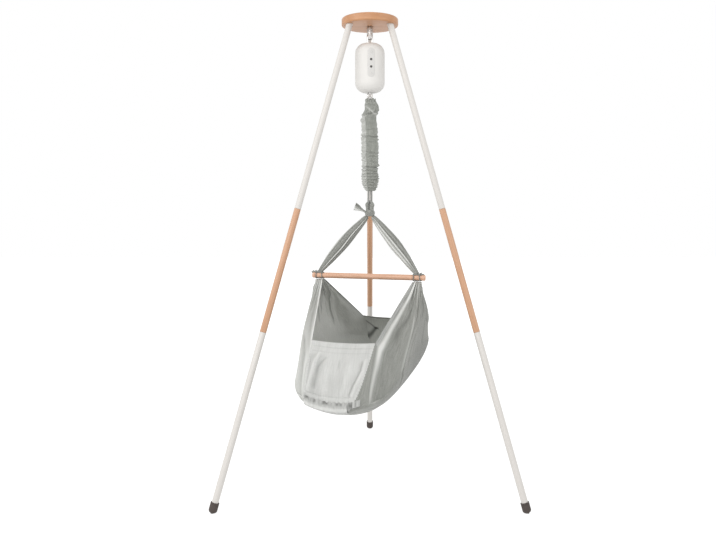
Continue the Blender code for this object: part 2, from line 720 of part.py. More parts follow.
def spring_path():
    """One unbroken wire: top hook, out to the coil, the turns and in to the bottom hook."""
    top_centre = HOOK_Z - HOOK_RING + HOOK_ROD + WIRE_RADIUS + HOOK_PLAY - SPRING_LOOP
    bottom_centre = CORD_TOP - CORD_RADIUS - WIRE_RADIUS - HOOK_PLAY + SPRING_LOOP
    path = spring_end(top_centre, radians(90), 1)
    total = SPRING_TURNS * TURN_STEPS
    top_join = path[-1].z
    for i in range(1, SPRING_LEAD + 1):
        share = i / (SPRING_LEAD + 1)
        radius = SPRING_RADIUS * smooth_step((share - 0.42) / 0.52)
        angle = SPRING_START - SPRING_SWEEP * (1 - share)
        height = top_join + (SPRING_TOP - top_join) * share
        path.append(flat_direction(angle) * radius + Vector((0, 0, height)))
    for i in range(total + 1):
        angle = SPRING_START + 2 * pi * i / TURN_STEPS
        height = SPRING_TOP + (SPRING_BOTTOM - SPRING_TOP) * i / total
        path.append(flat_direction(angle) * SPRING_RADIUS + Vector((0, 0, height)))
    hook = spring_end(bottom_centre, CORD_TURN - GEAR_TURN + pi / 2, -1)[::-1]
    end_angle = SPRING_START + 2 * pi * SPRING_TURNS
    for i in range(1, SPRING_LEAD + 1):
        share = i / (SPRING_LEAD + 1)
        radius = SPRING_RADIUS * (1 - smooth_step(share))
        height = SPRING_BOTTOM + (hook[0].z - SPRING_BOTTOM) * share
        path.append(flat_direction(end_angle + SPRING_SWEEP * share) * radius + Vector((0, 0, height)))
    return path + hook


def least_gap(path, radius, skip):
    """The least gap of a wire to itself, measured between points that are more than skip apart along it."""
    points = np.array([tuple(point) for point in path])
    fine = np.concatenate([points[:-1] * (1 - s) + points[1:] * s for s in (0.0, 0.25, 0.5, 0.75)])
    order = np.concatenate([np.arange(len(points) - 1) + s for s in (0.0, 0.25, 0.5, 0.75)])
    apart = np.linalg.norm(fine[:, None] - fine[None], axis=2)
    far = np.abs(order[:, None] - order[None]) > skip
    return float(apart[far].min() - 2 * radius)


def spring(gear, look):
    path = spring_path()
    wire("spring", path, WIRE_RADIUS, look, gear, 1)
    print(f"spring: least gap of the wire to itself {1000 * least_gap(path, WIRE_RADIUS, 5):.2f} mm")


def sleeve_shift(z):
    """The sleeve's top part hangs a little to the right of the spring."""
    s = (SLEEVE_TOP - z) / (SLEEVE_TOP - SLEEVE_BOTTOM)
    return 0.007 * smooth_step((s + 0.08) / 0.15) * (1 - smooth_step((s - 0.08) / 0.12))


def sleeve(gear, look):
    """The gathered cloth sleeve over the spring: crumpled rings outside, a plain bore inside."""
    sides = 14
    rows = 33
    rings = []
    for i in range(rows):
        s = i / (rows - 1)
        z = SLEEVE_TOP + (SLEEVE_BOTTOM - SLEEVE_TOP) * s
        taper = 0.60 + 0.40 * smooth_step(s / 0.07)
        taper *= 1 - 0.16 * (1 - smooth_step((s - 0.10) / 0.10))
        taper *= 0.46 + 0.54 * smooth_step((1 - s) / 0.07)
        tight = smooth_step((s - 0.62) / 0.15)
        ring = []
        for k in range(sides):
            a = 2 * pi * k / sides
            wave = 0.0026 * sin(2 * pi * s * 7.3 + 1.1 * sin(a) + 0.8 * cos(2 * a)) * (1 - tight)
            wave += 0.0024 * sin(pi * i + 0.9 * sin(a)) * tight
            wave += 0.0016 * sin(3 * a + 11 * s) + 0.0010 * sin(5 * a - 23 * s)
            radius = (SLEEVE_RADIUS + wave) * taper
            ring.append(Vector((radius * cos(a) + sleeve_shift(z), radius * sin(a), z)))
        rings.append(ring)
    for radius, z in (*SLEEVE_MOUTHS, (SLEEVE_BORE, 1.34), (SLEEVE_BORE, 1.43), *SLEEVE_NECK):
        rings.append([point + Vector((sleeve_shift(z), 0, 0)) for point in circle(radius, sides, z)])
    loft("spring_sleeve", rings, look, gear, (0, 0, SLEEVE_TOP), closed=True, sharp=80)


def cord_loop(hang, look):
    """A closed loop of cord between the spring's bottom hook and the cradle's cloth loop."""
    out = flat_direction(CORD_TURN)
    points = []
    top_centre = CORD_TOP - CORD_TOP_BEND
    for a in np.linspace(0, pi, 9):
        points.append(out * CORD_TOP_BEND * cos(a) + Vector((0, 0, top_centre + CORD_TOP_BEND * sin(a))))
    bottom_centre = CORD_BOTTOM + CORD_BOTTOM_BEND
    for i in range(1, CORD_STEPS):
        share = smooth_step(i / CORD_STEPS)
        across = CORD_TOP_BEND + (CORD_BOTTOM_BEND - CORD_TOP_BEND) * share
        z = top_centre + (bottom_centre - top_centre) * i / CORD_STEPS
        points.append(out * -across + Vector((0, 0, z)))
    for a in np.linspace(pi, 2 * pi, 11):
        bend = CORD_BOTTOM_BEND
        points.append(out * bend * cos(a) + Vector((0, 0, bottom_centre + bend * sin(a))))
    for i in range(1, CORD_STEPS):
        share = smooth_step(1 - i / CORD_STEPS)
        across = CORD_TOP_BEND + (CORD_BOTTOM_BEND - CORD_TOP_BEND) * share
        z = bottom_centre + (top_centre - bottom_centre) * i / CORD_STEPS
        points.append(out * across + Vector((0, 0, z)))
    wire("cord_loop", points, CORD_RADIUS, look, hang, 1, cyclic=True)


# Cradle: knot, straps and bar


def fabric_loop(hang, look):
    """The cloth loop above the knot, thin where it hangs in the cord and full at its sides."""
    out = flat_direction(CORD_TURN + pi / 2)
    bend = LOOP_BEND
    top = CORD_BOTTOM + CORD_RADIUS + LOOP_RISE
    centre = top - bend
    foot = KNOT_Z + KNOT_HALF + LOOP_FOOT
    flat = [(-0.0105, foot), (-0.0118, (foot + centre) / 2 + 0.002)]
    flat += [(bend * cos(a), centre + bend * sin(a)) for a in np.linspace(pi, 0, 9)]
    flat += [(0.0118, (foot + centre) / 2 + 0.002), (0.0105, foot)]
    path = [out * x + Vector((0, 0, z)) for x, z in flat]
    radii = []
    for _, z in flat:
        full = smooth_step((top - z) / KNOT_RADIUS)
        size = LOOP_THIN + LOOP_FULL * full - LOOP_FOOT * smooth_step((centre - z) / LOOP_BEND)
        radii.append((size, size))
    along = flat_direction(CORD_TURN)
    rings = tube_rings(path, radii, 12, lambda i, a: 1 + 0.10 * sin(3 * a + 0.6 * i), along)
    for ring in (rings[0], rings[-1]):
        for point in ring:
            point.z = foot
    loft("fabric_loop", rings, look, hang, sharp=60)


def tie_knot(hang, look):
    """The knot where the cradle's cloth is bound, with its flared tail to the upper left."""
    rings = []
    for i in range(7):
        angle = -pi / 2 + pi * i / 6
        height = KNOT_Z + KNOT_HALF * sin(angle)
        radius = max(KNOT_RADIUS * cos(angle) ** 0.7 if 0 < i < 6 else 0.0, KNOT_NECK)
        ring = []
        for k, point in enumerate(circle(radius, KNOT_SIDES, height)):
            point.x *= 1 + 0.08 * sin(4 * pi * k / KNOT_SIDES)
            ring.append(point)
        rings.append(ring)
    knot = loft("tie_knot", rings, look, hang, sharp=60)
    rings = tube_rings([Vector(point) for point in TAIL_PATH], TAIL_RADII, 10)
    boolean(knot, cutter("knot_tail", [lambda bm: skin(bm, rings)], hang), "UNION")


def strap(cradle, side, look):
    """One gathered strap from the knot down to the bar, widest halfway."""
    way = -1 if side == "left" else 1
    out, drop = STRAP_TOP
    top = Vector((way * out, 0, KNOT_Z - KNOT_HALF - drop))
    bottom = Vector((GATHER[side], 0, BAR_Z + WRAP_RADIUS + STRAP_FOOT))
    wide, deep = STRAP_NARROW
    more_wide, more_deep = STRAP_SWELL
    path = []
    radii = []
    for i in range(STRAP_ROWS):
        s = i / (STRAP_ROWS - 1)
        bow = Vector((way * 0.80, 0, 0.60)) * (STRAP_BOW * sin(pi * s))
        path.append(top.lerp(bottom, s) + bow)
        full = sin(pi * s) ** 0.75 if 0 < s < 1 else 0.0
        radii.append((wide + more_wide * full, deep + more_deep * full))

    def folds(i, angle):
        depth = STRAP_FOLD * sin(pi * min(max(i / (STRAP_ROWS - 1), 0.08), 0.92))
        return 1 + depth * sin(4 * angle + 0.25 * i)

    rings = tube_rings(path, radii, 16, folds)
    for point in rings[0]:
        point.z = min(point.z, KNOT_Z - KNOT_HALF - 0.0004)
    for point in rings[-1]:
        point.z = bottom.z
    loft(f"strap_{side}", rings, look, cradle, sharp=60)


def spreader_bar(cradle, look):
    """The round wooden bar, with a shallow groove near each end where the cloth is tied."""
    along_x = Matrix.Translation((0, 0, BAR_Z)) @ Matrix.Rotation(pi / 2, 4, "Y")
    low, high = BAR_ENDS
    rim = BAR_RADIUS - BAR_ROUND
    profile = [(0, low), (rim, low), (BAR_RADIUS, low + BAR_ROUND)]
    for side in ("left", "right"):
        start = GATHER[side] - GROOVE_HALF
        end = GATHER[side] + GROOVE_HALF
        profile += [(BAR_RADIUS, start), (GROOVE_RADIUS, start + GROOVE_RAMP)]
        profile += [(GROOVE_RADIUS, end - GROOVE_RAMP), (BAR_RADIUS, end)]
    profile += [(BAR_RADIUS, high - BAR_ROUND), (rim, high), (0, high)]
    turned("spreader_bar", profile, look, cradle, along_x, 16, origin=(0, 0, BAR_Z))


def bar_wrap(cradle, side, look):
    """The gathered cloth wound round the bar's groove."""
    along_x = Matrix.Translation((GATHER[side], 0, BAR_Z)) @ Matrix.Rotation(pi / 2, 4, "Y")
    inner = GROOVE_RADIUS + WRAP_FIT
    outer = inner + WRAP_THICK
    half = GROOVE_HALF - WRAP_SHY
    ridge, dip = (WRAP_RADIUS - drop for drop in WRAP_RISES)
    profile = [(inner, -half), (outer, -half), (ridge, -half * 0.55), (dip, 0)]
    profile += [(ridge, half * 0.55), (outer, half), (inner, half)]
    turned(f"bar_wrap_{side}", profile, look, cradle, along_x, 16, closed=True)


# Cradle: the cloth hull


def end_of(y):
    return ("front", HULL_FRONT) if y < 0 else ("back", HULL_BACK)


def share_of(y):
    return min(abs(y) / end_of(y)[1], 1.0)


def half_width(y):
    return HULL_HALF * (1 - share_of(y) ** PLAN_POWER) ** (1 / PLAN_POWER)


def shoulder_z(y):
    end = SHOULDER_FRONT if y < 0 else SHOULDER_BACK
    return SHOULDER_MID + (end - SHOULDER_MID) * share_of(y) ** 2


def keel_z(y):
    end = KEEL_FRONT if y < 0 else KEEL_BACK
    return KEEL_MID + (end - KEEL_MID) * share_of(y) ** KEEL_POWER


def seam_y(end):
    """Where an end panel's side seam meets the hull, along the cradle."""
    reach = HULL_FRONT if end == "front" else HULL_BACK
    way = -1 if end == "front" else 1
    return way * reach * (1 - (PANEL_HALF / HULL_HALF) ** PLAN_POWER) ** (1 / PLAN_POWER)


def hull_point(y, angle, way):
    """The hull below its shoulder: angle 0 there, 90 degrees at the keel, way -1 left or 1 right."""
    power = 2 / SECTION_POWER
    across = half_width(y) * max(cos(angle), 0.0) ** power
    drop = (shoulder_z(y) - keel_z(y)) * sin(angle) ** power
    return Vector((HULL_MIDDLE + way * across, y, shoulder_z(y) - drop))


def bend_between(start, control, end, s):
    return start * (1 - s) ** 2 + control * 2 * s * (1 - s) + end * s * s


def panel_edge(end, way, s):
    """The side seam of an end panel, from its top corner down to the hull's shoulder."""
    side = -1 if end == "front" else 1
    y = seam_y(end)
    top = Vector((HULL_MIDDLE + way * PANEL_HALF, side * PANEL_TOP_Y, PANEL_TOP_Z[end]))
    bottom = hull_point(y, 0.0, way)
    control = Vector((top.x, y + side * PANEL_BULGE[end], bottom.z + PANEL_BEND))
    return bend_between(top, control, bottom, s)


def side_point(side, t, s):
    """A side sheet's middle: t from -1 at the foot to 1 at the head, s from the bar to the bottom seam."""
    way = -1 if side == "left" else 1
    end = "front" if t < 0 else "back"
    reach = abs(seam_y(end))
    y = (-1 if t < 0 else 1) * reach * sin(1.25 * abs(t)) / sin(1.25)
    spread = way * GATHER_SPREAD * (1 - 2 * t * t)
    gather = Vector((GATHER[side] + spread, GATHER_DEPTH * t, BAR_Z - WRAP_RADIUS - 0.0025))
    edge = smooth_step((abs(t) - 0.70) / 0.30)
    if s >= EDGE_SHARE:
        angle = SEAM_ANGLE * (s - EDGE_SHARE) / (1 - EDGE_SHARE)
        return hull_point(y, angle, way)
    shoulder = hull_point(y, 0.0, way)
    u = s / EDGE_SHARE
    inner = gather.lerp(shoulder, u)
    inner.x += way * SIDE_BOW * sin(pi * u) ** 2 * (1 - edge)
    if s < TOP_SHARE:
        outer = gather.lerp(panel_edge(end, way, 0.0), s / TOP_SHARE)
    else:
        outer = panel_edge(end, way, (s - TOP_SHARE) / (EDGE_SHARE - TOP_SHARE))
    return inner.lerp(outer, edge)


def side_fold(t, s):
    """How far a side sheet's folds stand out: they fan from the bar and fade above the shoulder."""
    rise = smooth_step(s / 0.22)
    fade = 1 - smooth_step((s - 0.25) / 0.50)
    low, more = FOLD_HEIGHT
    depth = (low + more * rise) * fade
    return depth * cos(5 * 2 * pi * (t + 1) / 2 + 0.6)


def cloth(name, grid, folds, thickness, look, parent):
    """A closed sheet of cloth: two skins either side of a grid of points, joined round the edge."""
    points = np.array([[tuple(point) for point in row] for row in grid])
    normals = np.cross(np.gradient(points, axis=0), np.gradient(points, axis=1))
    normals /= np.linalg.norm(normals, axis=2, keepdims=True)
    points = points + normals * np.array(folds)[..., None]
    normals = np.cross(np.gradient(points, axis=0), np.gradient(points, axis=1))
    normals /= np.linalg.norm(normals, axis=2, keepdims=True)
    half = np.array(thickness)[:, None, None] / 2
    bm = bmesh.new()
    skins = []
    for way in (1, -1):
        skins.append([[bm.verts.new(point) for point in row] for row in points + way * normals * half])
    rows, columns = points.shape[:2]
    for k, skin_rows in enumerate(skins):
        for i in range(rows - 1):
            for j in range(columns - 1):
                face = [skin_rows[i][j], skin_rows[i][j + 1], skin_rows[i + 1][j + 1], skin_rows[i + 1][j]]
                bm.faces.new(face if k else face[::-1])
    rim = [(0, j) for j in range(columns)] + [(i, columns - 1) for i in range(1, rows)]
    rim += [(rows - 1, j) for j in range(columns - 2, -1, -1)] + [(i, 0) for i in range(rows - 2, 0, -1)]
    for (i, j), (m, n) in zip(rim, rim[1:] + rim[:1]):
        bm.faces.new((skins[0][i][j], skins[0][m][n], skins[1][m][n], skins[1][i][j]))
    return finish(bm, name, look, parent, sharp=60)


def side_sheet(cradle, side, look):
    """A side of the cradle: cloth that fans from the bar to the bottom seam, thin where it is gathered."""
    ts = [-1 + 2 * j / (SIDE_COLUMNS - 1) for j in range(SIDE_COLUMNS)]
    grid = []
    folds = []
    for s in SIDE_ROWS:
        grid.append([side_point(side, t, s) for t in ts])
        folds.append([side_fold(t, s) * (1 - smooth_step((abs(t) - 0.85) / 0.15)) for t in ts])
    thickness = [CLOTH_GATHERED + (CLOTH - CLOTH_GATHERED) * smooth_step(s / 0.2) for s in SIDE_ROWS]
    cloth(f"side_{side}", grid, folds, thickness, look, cradle)


def base_cloth(cradle, look):
    """The keel of the hull between the two bottom seams."""
    rows = 13
    columns = 9
    low = seam_y("front") + SEAM_GAP
    high = seam_y("back") - SEAM_GAP
    grid = []
    for i in range(rows):
        y = low + (high - low) * i / (rows - 1)
        inset = SEAM_GAP / half_width(y) * 1.2
        start = SEAM_ANGLE + inset
        row = []
        for j in range(columns):
            angle = start + (pi - 2 * start) * j / (columns - 1)
            way = -1 if angle < pi / 2 else 1
            row.append(hull_point(y, angle if angle < pi / 2 else pi - angle, way))
        grid.append(row)
    cloth("base_cloth", grid, np.zeros((rows, columns)), [CLOTH] * rows, look, cradle)


def panel_point(end, across, s):
    """An end panel: across from -1 to 1, s from its top edge down to the hull's end."""
    side = -1 if end == "front" else 1
    half = PANEL_HALF - SEAM_GAP
    x = HULL_MIDDLE + across * half
    y = seam_y(end)
    top = Vector((x, side * PANEL_TOP_Y, PANEL_TOP_Z[end] - PANEL_SAG * (1 - across * across)))
    width = half_width(y)
    angle = pi / 2 - asin(min(abs(across) * half / width, 1.0) ** (SECTION_POWER / 2))
    bottom = hull_point(y, angle, 1)
    bottom = Vector((x, bottom.y, bottom.z))
    bulge = side * (PANEL_BULGE[end] + PANEL_CROWN[end] * (1 - across * across))
    control = Vector((x, y + bulge, shoulder_z(y) + PANEL_BEND - 0.01 * (1 - across * across)))
    return bend_between(top, control, bottom, s)


def end_panel(cradle, end, name, look):
    """The cloth panel that closes one end of the cradle, from its top hem down to the hull."""
    rows = 8
    columns = 13
    grid = []
    for i in range(rows):
        s = i / (rows - 1) * 0.985
        grid.append([panel_point(end, -1 + 2 * j / (columns - 1), s) for j in range(columns)])
    folds = [
        [PANEL_FOLD * sin(pi * i / (rows - 1)) * sin(pi * 1.5 * (j - 6) / 2) for j in range(columns)]
        for i in range(rows)
    ]
    cloth(name, grid, folds, [CLOTH] * rows, look, cradle)


def foot_skirt(cradle, look):
    """The gathered strip under the foot panel, lying outside the hull."""
    columns = 21
    rows = 4
    grid = []
    folds = []
    before, length = SKIRT_REACH
    low = seam_y("front") - before
    high = low + length
    for i in range(rows):
        y = low + (high - low) * i / (rows - 1)
        row = []
        for j in range(columns):
            across = -1 + 2 * j / (columns - 1)
            angle = SKIRT_END + (pi - 2 * SKIRT_END) * j / (columns - 1)
            way = -1 if angle < pi / 2 else 1
            point = hull_point(y, angle if angle < pi / 2 else pi - angle, way)
            away = Vector((across * 0.35, -0.35, -0.9)).normalized()
            row.append(point + away * SKIRT_OFFSET)
        grid.append(row)
        folds.append([SKIRT_FOLD * cos(pi * j) * (0.4 + 0.6 * i / (rows - 1)) for j in range(columns)])
    cloth("foot_skirt", grid, folds, [CLOTH_SKIRT] * rows, look, cradle)


def mattress(cradle, look):
    """A thick crowned mattress lying in the hull, its edges drawn in, so that the cradle hangs level."""
    rows = 15
    sides = 16
    low = seam_y("front") + MATTRESS_ENDS[0]
    high = seam_y("back") - MATTRESS_ENDS[1]
    rings = []
    for i in range(rows):
        share = i / (rows - 1)
        y = low + (high - low) * share
        tip = min(share, 1 - share) * (rows - 1)
        close = MATTRESS_TIPS[int(tip)] if tip < 3 else 1.0
        half = MATTRESS_SHARE * half_width(y) * (0.85 + 0.15 * close)
        thick = (MATTRESS_THICK + MATTRESS_HEAD_RISE * smooth_step(share)) * close
        ring = []
        for k in range(sides):
            angle = 2 * pi * k / sides
            x = half * cos(angle) + MATTRESS_SHIFT
            floor = section_z(y, x) + MATTRESS_BED
            height = (thick - (floor - keel_z(y)) * 0.55) / 2
            rise = abs(sin(angle)) ** 0.6 * (1 if sin(angle) >= 0 else -1)
            ring.append(Vector((HULL_MIDDLE + x, y, floor + height * (1 + rise))))
        rings.append(ring)
    loft("mattress", rings, look, cradle, sharp=60)


def section_z(y, x):
    """The hull's height at a distance x from its middle line."""
    angle = pi / 2 - asin(min(abs(x) / half_width(y), 1.0) ** (SECTION_POWER / 2))
    return hull_point(y, angle, 1).z


def main():
    clear_scene()
    looks = {
        "paint": material("white_paint", WHITE_PAINT, 0.35),
        "wood": material("beech", BEECH, 0.45),
        "steel": material("steel", STEEL, 0.32, 1.0),
        "rubber": material("rubber", RUBBER, 0.7),
        "case": material("case_white", CASE_WHITE, 0.4),
        "dark": material("dark_plastic", RUBBER, 0.4),
        "board": material("board_green", (0.05, 0.22, 0.10), 0.5),
        "cloth": material("grey_cloth", GREY_CLOTH, 0.9),
        "pale": material("pale_cloth", PALE_CLOTH, 0.9),
        "cord": material("grey_cord", CORD_GREY, 0.8),
    }
    stand = empty("stand_axis", (0, HUB_Y, 0))
    gear = empty("gear_axis", (0, HUB_Y, 0), GEAR_TURN)
    hang = empty("hang_axis", (0, HUB_Y, 0))
    cradle = empty("cradle_axis", (0, HUB_Y, 0), CRADLE_TURN)

    frames = {name: leg_frame(name) for name in LEG_NAMES}
    hub_disc(stand, looks["wood"], frames)
    for name, (frame, length) in frames.items():
        leg(stand, name, frame, length, looks)
    hanger(stand, looks["steel"])

    swivel(gear, looks["steel"])
    suspension_link(gear, looks["steel"])
    drive_unit(gear, looks)
    drive_frame(gear, looks)
    drive_hook(gear, looks["steel"])
    spring(gear, looks["steel"])
    sleeve(gear, looks["cloth"])
    cord_loop(hang, looks["cord"])

    fabric_loop(hang, looks["cloth"])
    tie_knot(hang, looks["cloth"])
    spreader_bar(cradle, looks["wood"])
    for side in ("left", "right"):
        strap(cradle, side, looks["cloth"])
        bar_wrap(cradle, side, looks["cloth"])
        side_sheet(cradle, side, looks["cloth"])
    base_cloth(cradle, looks["cloth"])
    end_panel(cradle, "front", "foot_panel", looks["pale"])
    end_panel(cradle, "back", "head_panel", looks["cloth"])
    foot_skirt(cradle, looks["pale"])
    mattress(cradle, looks["cloth"])


main()
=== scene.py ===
"""Baby hammock on a three-legged stand: its visible pieces and their finishes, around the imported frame, in
metres."""

from functools import partial
from math import asin, cos, exp, pi, radians, sin

import bmesh
import bpy
import numpy as np
from mathutils import Matrix, Vector, noise


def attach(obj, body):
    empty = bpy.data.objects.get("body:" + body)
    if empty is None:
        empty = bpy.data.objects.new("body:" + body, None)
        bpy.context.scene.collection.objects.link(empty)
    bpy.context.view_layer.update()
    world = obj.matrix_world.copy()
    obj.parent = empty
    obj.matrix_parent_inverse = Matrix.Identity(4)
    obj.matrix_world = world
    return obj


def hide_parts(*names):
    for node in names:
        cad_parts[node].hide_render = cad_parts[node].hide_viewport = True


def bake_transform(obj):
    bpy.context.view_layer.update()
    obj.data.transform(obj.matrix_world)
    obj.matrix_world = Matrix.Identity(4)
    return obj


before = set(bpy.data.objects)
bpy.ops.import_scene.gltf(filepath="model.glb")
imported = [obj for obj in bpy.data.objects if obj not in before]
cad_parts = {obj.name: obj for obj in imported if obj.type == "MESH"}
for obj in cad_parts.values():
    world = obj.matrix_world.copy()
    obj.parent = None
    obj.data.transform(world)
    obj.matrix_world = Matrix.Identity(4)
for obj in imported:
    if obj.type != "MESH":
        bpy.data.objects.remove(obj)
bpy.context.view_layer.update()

# Where things stand
HUB_Y = -0.1141
GEAR_TURN = radians(5)
CRADLE_TURN = radians(-15)
GEAR = Matrix.Translation((0, HUB_Y, 0)) @ Matrix.Rotation(GEAR_TURN, 4, "Z")
HANG = Matrix.Translation((0, HUB_Y, 0))
CRADLE = Matrix.Translation((0, HUB_Y, 0)) @ Matrix.Rotation(CRADLE_TURN, 4, "Z")

# Fits and counts
GAP = 0.0003
MERGE = 1e-5
ROUND_STEPS = 64

# Stand
HUB_RADIUS = 0.118
HUB_UNDER = 1.900
HUB_TOP = 1.932
HUB_ROUND = 0.007
FOOT_CIRCLE = 0.684
LEG_CIRCLE = 0.096
LEG_RADIUS = 0.013
LEG_WALL = 0.0015
LEG_AZIMUTHS = {"left": radians(210), "right": radians(330), "rear": radians(90)}
WOOD_START = 0.400
WOOD_END = 0.651
JOINT_ROUND = 0.0009
FOOT_RADIUS = 0.0165
FOOT_LENGTH = 0.040
FOOT_FLOOR = 0.0115

# Hanging gear
BOLT_RADIUS = 0.005
PIN_Z = 1.855
PIN_RADIUS = 0.0045
LINK_RADIUS = 0.004
LINK_HALF = 0.0095
LINK_TOP = PIN_Z + PIN_RADIUS + LINK_RADIUS + GAP
LINK_BOTTOM = 1.814
CASE_RADIUS = 0.062
CASE_TOP = 1.829
CASE_BOTTOM = 1.624
CASE_ROUND = 0.042
CASE_WALL = 0.0025
CASE_HOLES = (0.017, 0.010)
STRIP_HALF = 0.0145
STRIP_LOW = 1.680
STRIP_HIGH = 1.800
STRIP_FRONT = -0.0620
STRIP_BACK = -0.0590
RECESS = 0.0016
RECESS_DEEP = 0.0008
BUTTON_HEIGHTS = (1.783, 1.753, 1.723, 1.693)
BUTTON_RADIUS = 0.005
BUTTON_PROUD = 0.0012
REEL_RADIUS = 0.014
STRAP_HALF = 0.0005
SOCKET_Z = 1.660
HOOK_Z = 1.6125
HOOK_RING = 0.0085
HOOK_ROD = 0.00275
WIRE_RADIUS = 0.00225
SPRING_RADIUS = 0.018
SPRING_TURNS = 12
SPRING_TOP = 1.515
SPRING_BOTTOM = 1.288
SPRING_LOOP = 0.007
SLEEVE_TOP = 1.598
SLEEVE_BOTTOM = 1.214
SLEEVE_RADIUS = 0.033
CORD_RADIUS = 0.0032
CORD_TURN = radians(45)
CORD_TOP = 1.2544
CORD_TOP_BEND = 0.0062
CORD_BOTTOM = 1.161
CORD_BOTTOM_BEND = 0.009
BRAID_PITCH = 0.0052
BRAID_STRANDS = 6

# Cradle, in its own frame
KNOT_Z = 1.121
KNOT_RADIUS = 0.019
KNOT_HALF = 0.0125
BAR_Z = 0.855
BAR_RADIUS = 0.012
BAR_ENDS = (-0.254, 0.237)
GATHER = {"left": -0.222, "right": 0.202}
STRAP_BOW = 0.003
GROOVE_RADIUS = 0.0105
GROOVE_HALF = 0.021
GATHER_SPREAD = 0.017
GATHER_DEPTH = 0.014
WRAP_RADIUS = 0.016
HULL_MIDDLE = -0.006
HULL_HALF = 0.212
HULL_FRONT = 0.463
HULL_BACK = 0.449
SHOULDER_MID = 0.569
SHOULDER_FRONT = 0.437
SHOULDER_BACK = 0.524
KEEL_MID = 0.321
KEEL_FRONT = 0.418
KEEL_BACK = 0.461
KEEL_POWER = 2.4
SECTION_POWER = 1.73
PLAN_POWER = 4
PANEL_HALF = 0.122
PANEL_TOP_Y = 0.360
PANEL_TOP_Z = {"front": 0.645, "back": 0.630}
PANEL_SAG = 0.006
PANEL_BEND = 0.055
PANEL_BULGE = {"front": 0.020, "back": 0.010}
PANEL_CROWN = {"front": 0.018, "back": 0.004}
SEAM_ANGLE = radians(50)
TOP_SHARE = 0.58
EDGE_SHARE = 0.80
CLOTH = 0.0018
MATTRESS_THICK = 0.080
MATTRESS_HEAD_RISE = 0.030
MATTRESS_SHARE = 0.78
MATTRESS_SHIFT = 0.010
MATTRESS_ENDS = (0.022, 0.040)

# Camera: the photograph's frame is 716 by 540 pixels
PHOTO_WIDE = 716
SENSOR = 36.0
FOCAL_PIXELS = 722.2
CAMERA_BACK = 3.0319
CAMERA_HEIGHT = 1.1666
CAMERA_PITCH = 0.0194
CAMERA_SHIFT = (-0.0166, -0.075)

# Colours, as linear light
WHITE_PAINT = (0.60, 0.575, 0.545)
CASE_WHITE = (0.66, 0.645, 0.62)
STRIP_WHITE = (0.56, 0.55, 0.53)
BEECH_LIGHT = (0.57, 0.335, 0.205)
BEECH_DARK = (0.40, 0.200, 0.105)
BAR_LIGHT = (0.66, 0.405, 0.28)
BAR_DARK = (0.50, 0.270, 0.160)
HUB_LIGHT = (0.50, 0.250, 0.115)
HUB_DARK = (0.36, 0.155, 0.065)
STEEL = (0.60, 0.585, 0.57)
BRIGHT_STEEL = (0.70, 0.685, 0.67)
RUBBER = (0.055, 0.042, 0.036)
DARK_PLASTIC = (0.055, 0.052, 0.050)
BOARD_GREEN = (0.035, 0.16, 0.07)
GREY_CLOTH = (0.262, 0.267, 0.246)
# The inside of the same grey cloth, made over twice as pale: painted light for the light that reaches the
# cradle's inside
INNER_CLOTH_PAINTED_LIGHT = (0.560, 0.567, 0.540)
PALE_CLOTH = (0.520, 0.522, 0.505)
# Painted highlight and painted shade: the colours that the tone attribute mixes into the cloth
PAINTED_HIGHLIGHT_CLOTH = (0.66, 0.665, 0.640)
PAINTED_SHADE_CLOTH = (0.070, 0.072, 0.064)
SLEEVE_CLOTH = (0.262, 0.270, 0.245)
HEM_CLOTH = (0.380, 0.385, 0.370)
CORD_GREY = (0.320, 0.325, 0.310)
WEBBING = (0.09, 0.09, 0.09)
FLOOR_GREY = (0.28, 0.28, 0.28)

# Light on the part: from the sky, and from the floor's own glow
SKY_LIGHT = 0.92
FLOOR_LIGHT = 0.70


def smooth_step(value):
    value = min(max(value, 0.0), 1.0)
    return value * value * (3 - 2 * value)


def bump(value, centre, width):
    """A rounded ridge, 1 at its centre."""
    return exp(-(((value - centre) / width) ** 2))


def shares(count):
    """Even steps from 0 to 1."""
    return [i / (count - 1) for i in range(count)]


def read_off(value, table, column=1):
    """A table's column at a value of its first column, with straight lines between the rows."""
    rows = sorted(table)
    return float(np.interp(value, [row[0] for row in rows], [row[column] for row in rows]))


# Node helpers


def group_shell(name, inputs):
    """A shader node group with its input and output nodes. An input of None is a vector, a tuple is a
    colour."""
    made = bpy.data.node_groups.new(name, "ShaderNodeTree")
    for label, value in inputs.items():
        kind = "Vector" if value is None else "Color" if isinstance(value, tuple) else "Float"
        socket = made.interface.new_socket(label, in_out="INPUT", socket_type=f"NodeSocket{kind}")
        if value is not None:
            socket.default_value = value
    for label, kind in (("Colour", "Color"), ("Height", "Float"), ("Roughness", "Float")):
        made.interface.new_socket(label, in_out="OUTPUT", socket_type=f"NodeSocket{kind}")
    return made, made.nodes.new("NodeGroupInput"), made.nodes.new("NodeGroupOutput")


def put(tree, kind, settings=(), **inputs):
    """A node with its settings and inputs: a socket is linked, anything else is a value."""
    made = tree.nodes.new(kind)
    for key, value in dict(settings).items():
        setattr(made, key, value)
    for key, value in inputs.items():
        label = int(key[1:]) if key[0] == "n" and key[1:].isdigit() else key.replace("_", " ")
        if isinstance(value, bpy.types.NodeSocket):
            tree.links.new(value, made.inputs[label])
        else:
            made.inputs[label].default_value = value
    return made


def maths(tree, operation, first, second=0.0, clamp=False):
    made = put(tree, "ShaderNodeMath", {"operation": operation, "use_clamp": clamp}, n0=first, n1=second)
    return made.outputs[0]


def formulas(tree):
    """The Math nodes that a tree uses most, to be called as add, minus and times."""
    return [partial(maths, tree, operation) for operation in ("ADD", "SUBTRACT", "MULTIPLY")]


def speckle(tree, vector, scale, detail, rough=0.5):
    made = put(tree, "ShaderNodeTexNoise", Vector=vector, Scale=scale, Detail=detail, Roughness=rough)
    return made.outputs["Fac"]


def stretched(tree, vector, *scale):
    return put(tree, "ShaderNodeMapping", Vector=vector, Scale=scale).outputs[0]


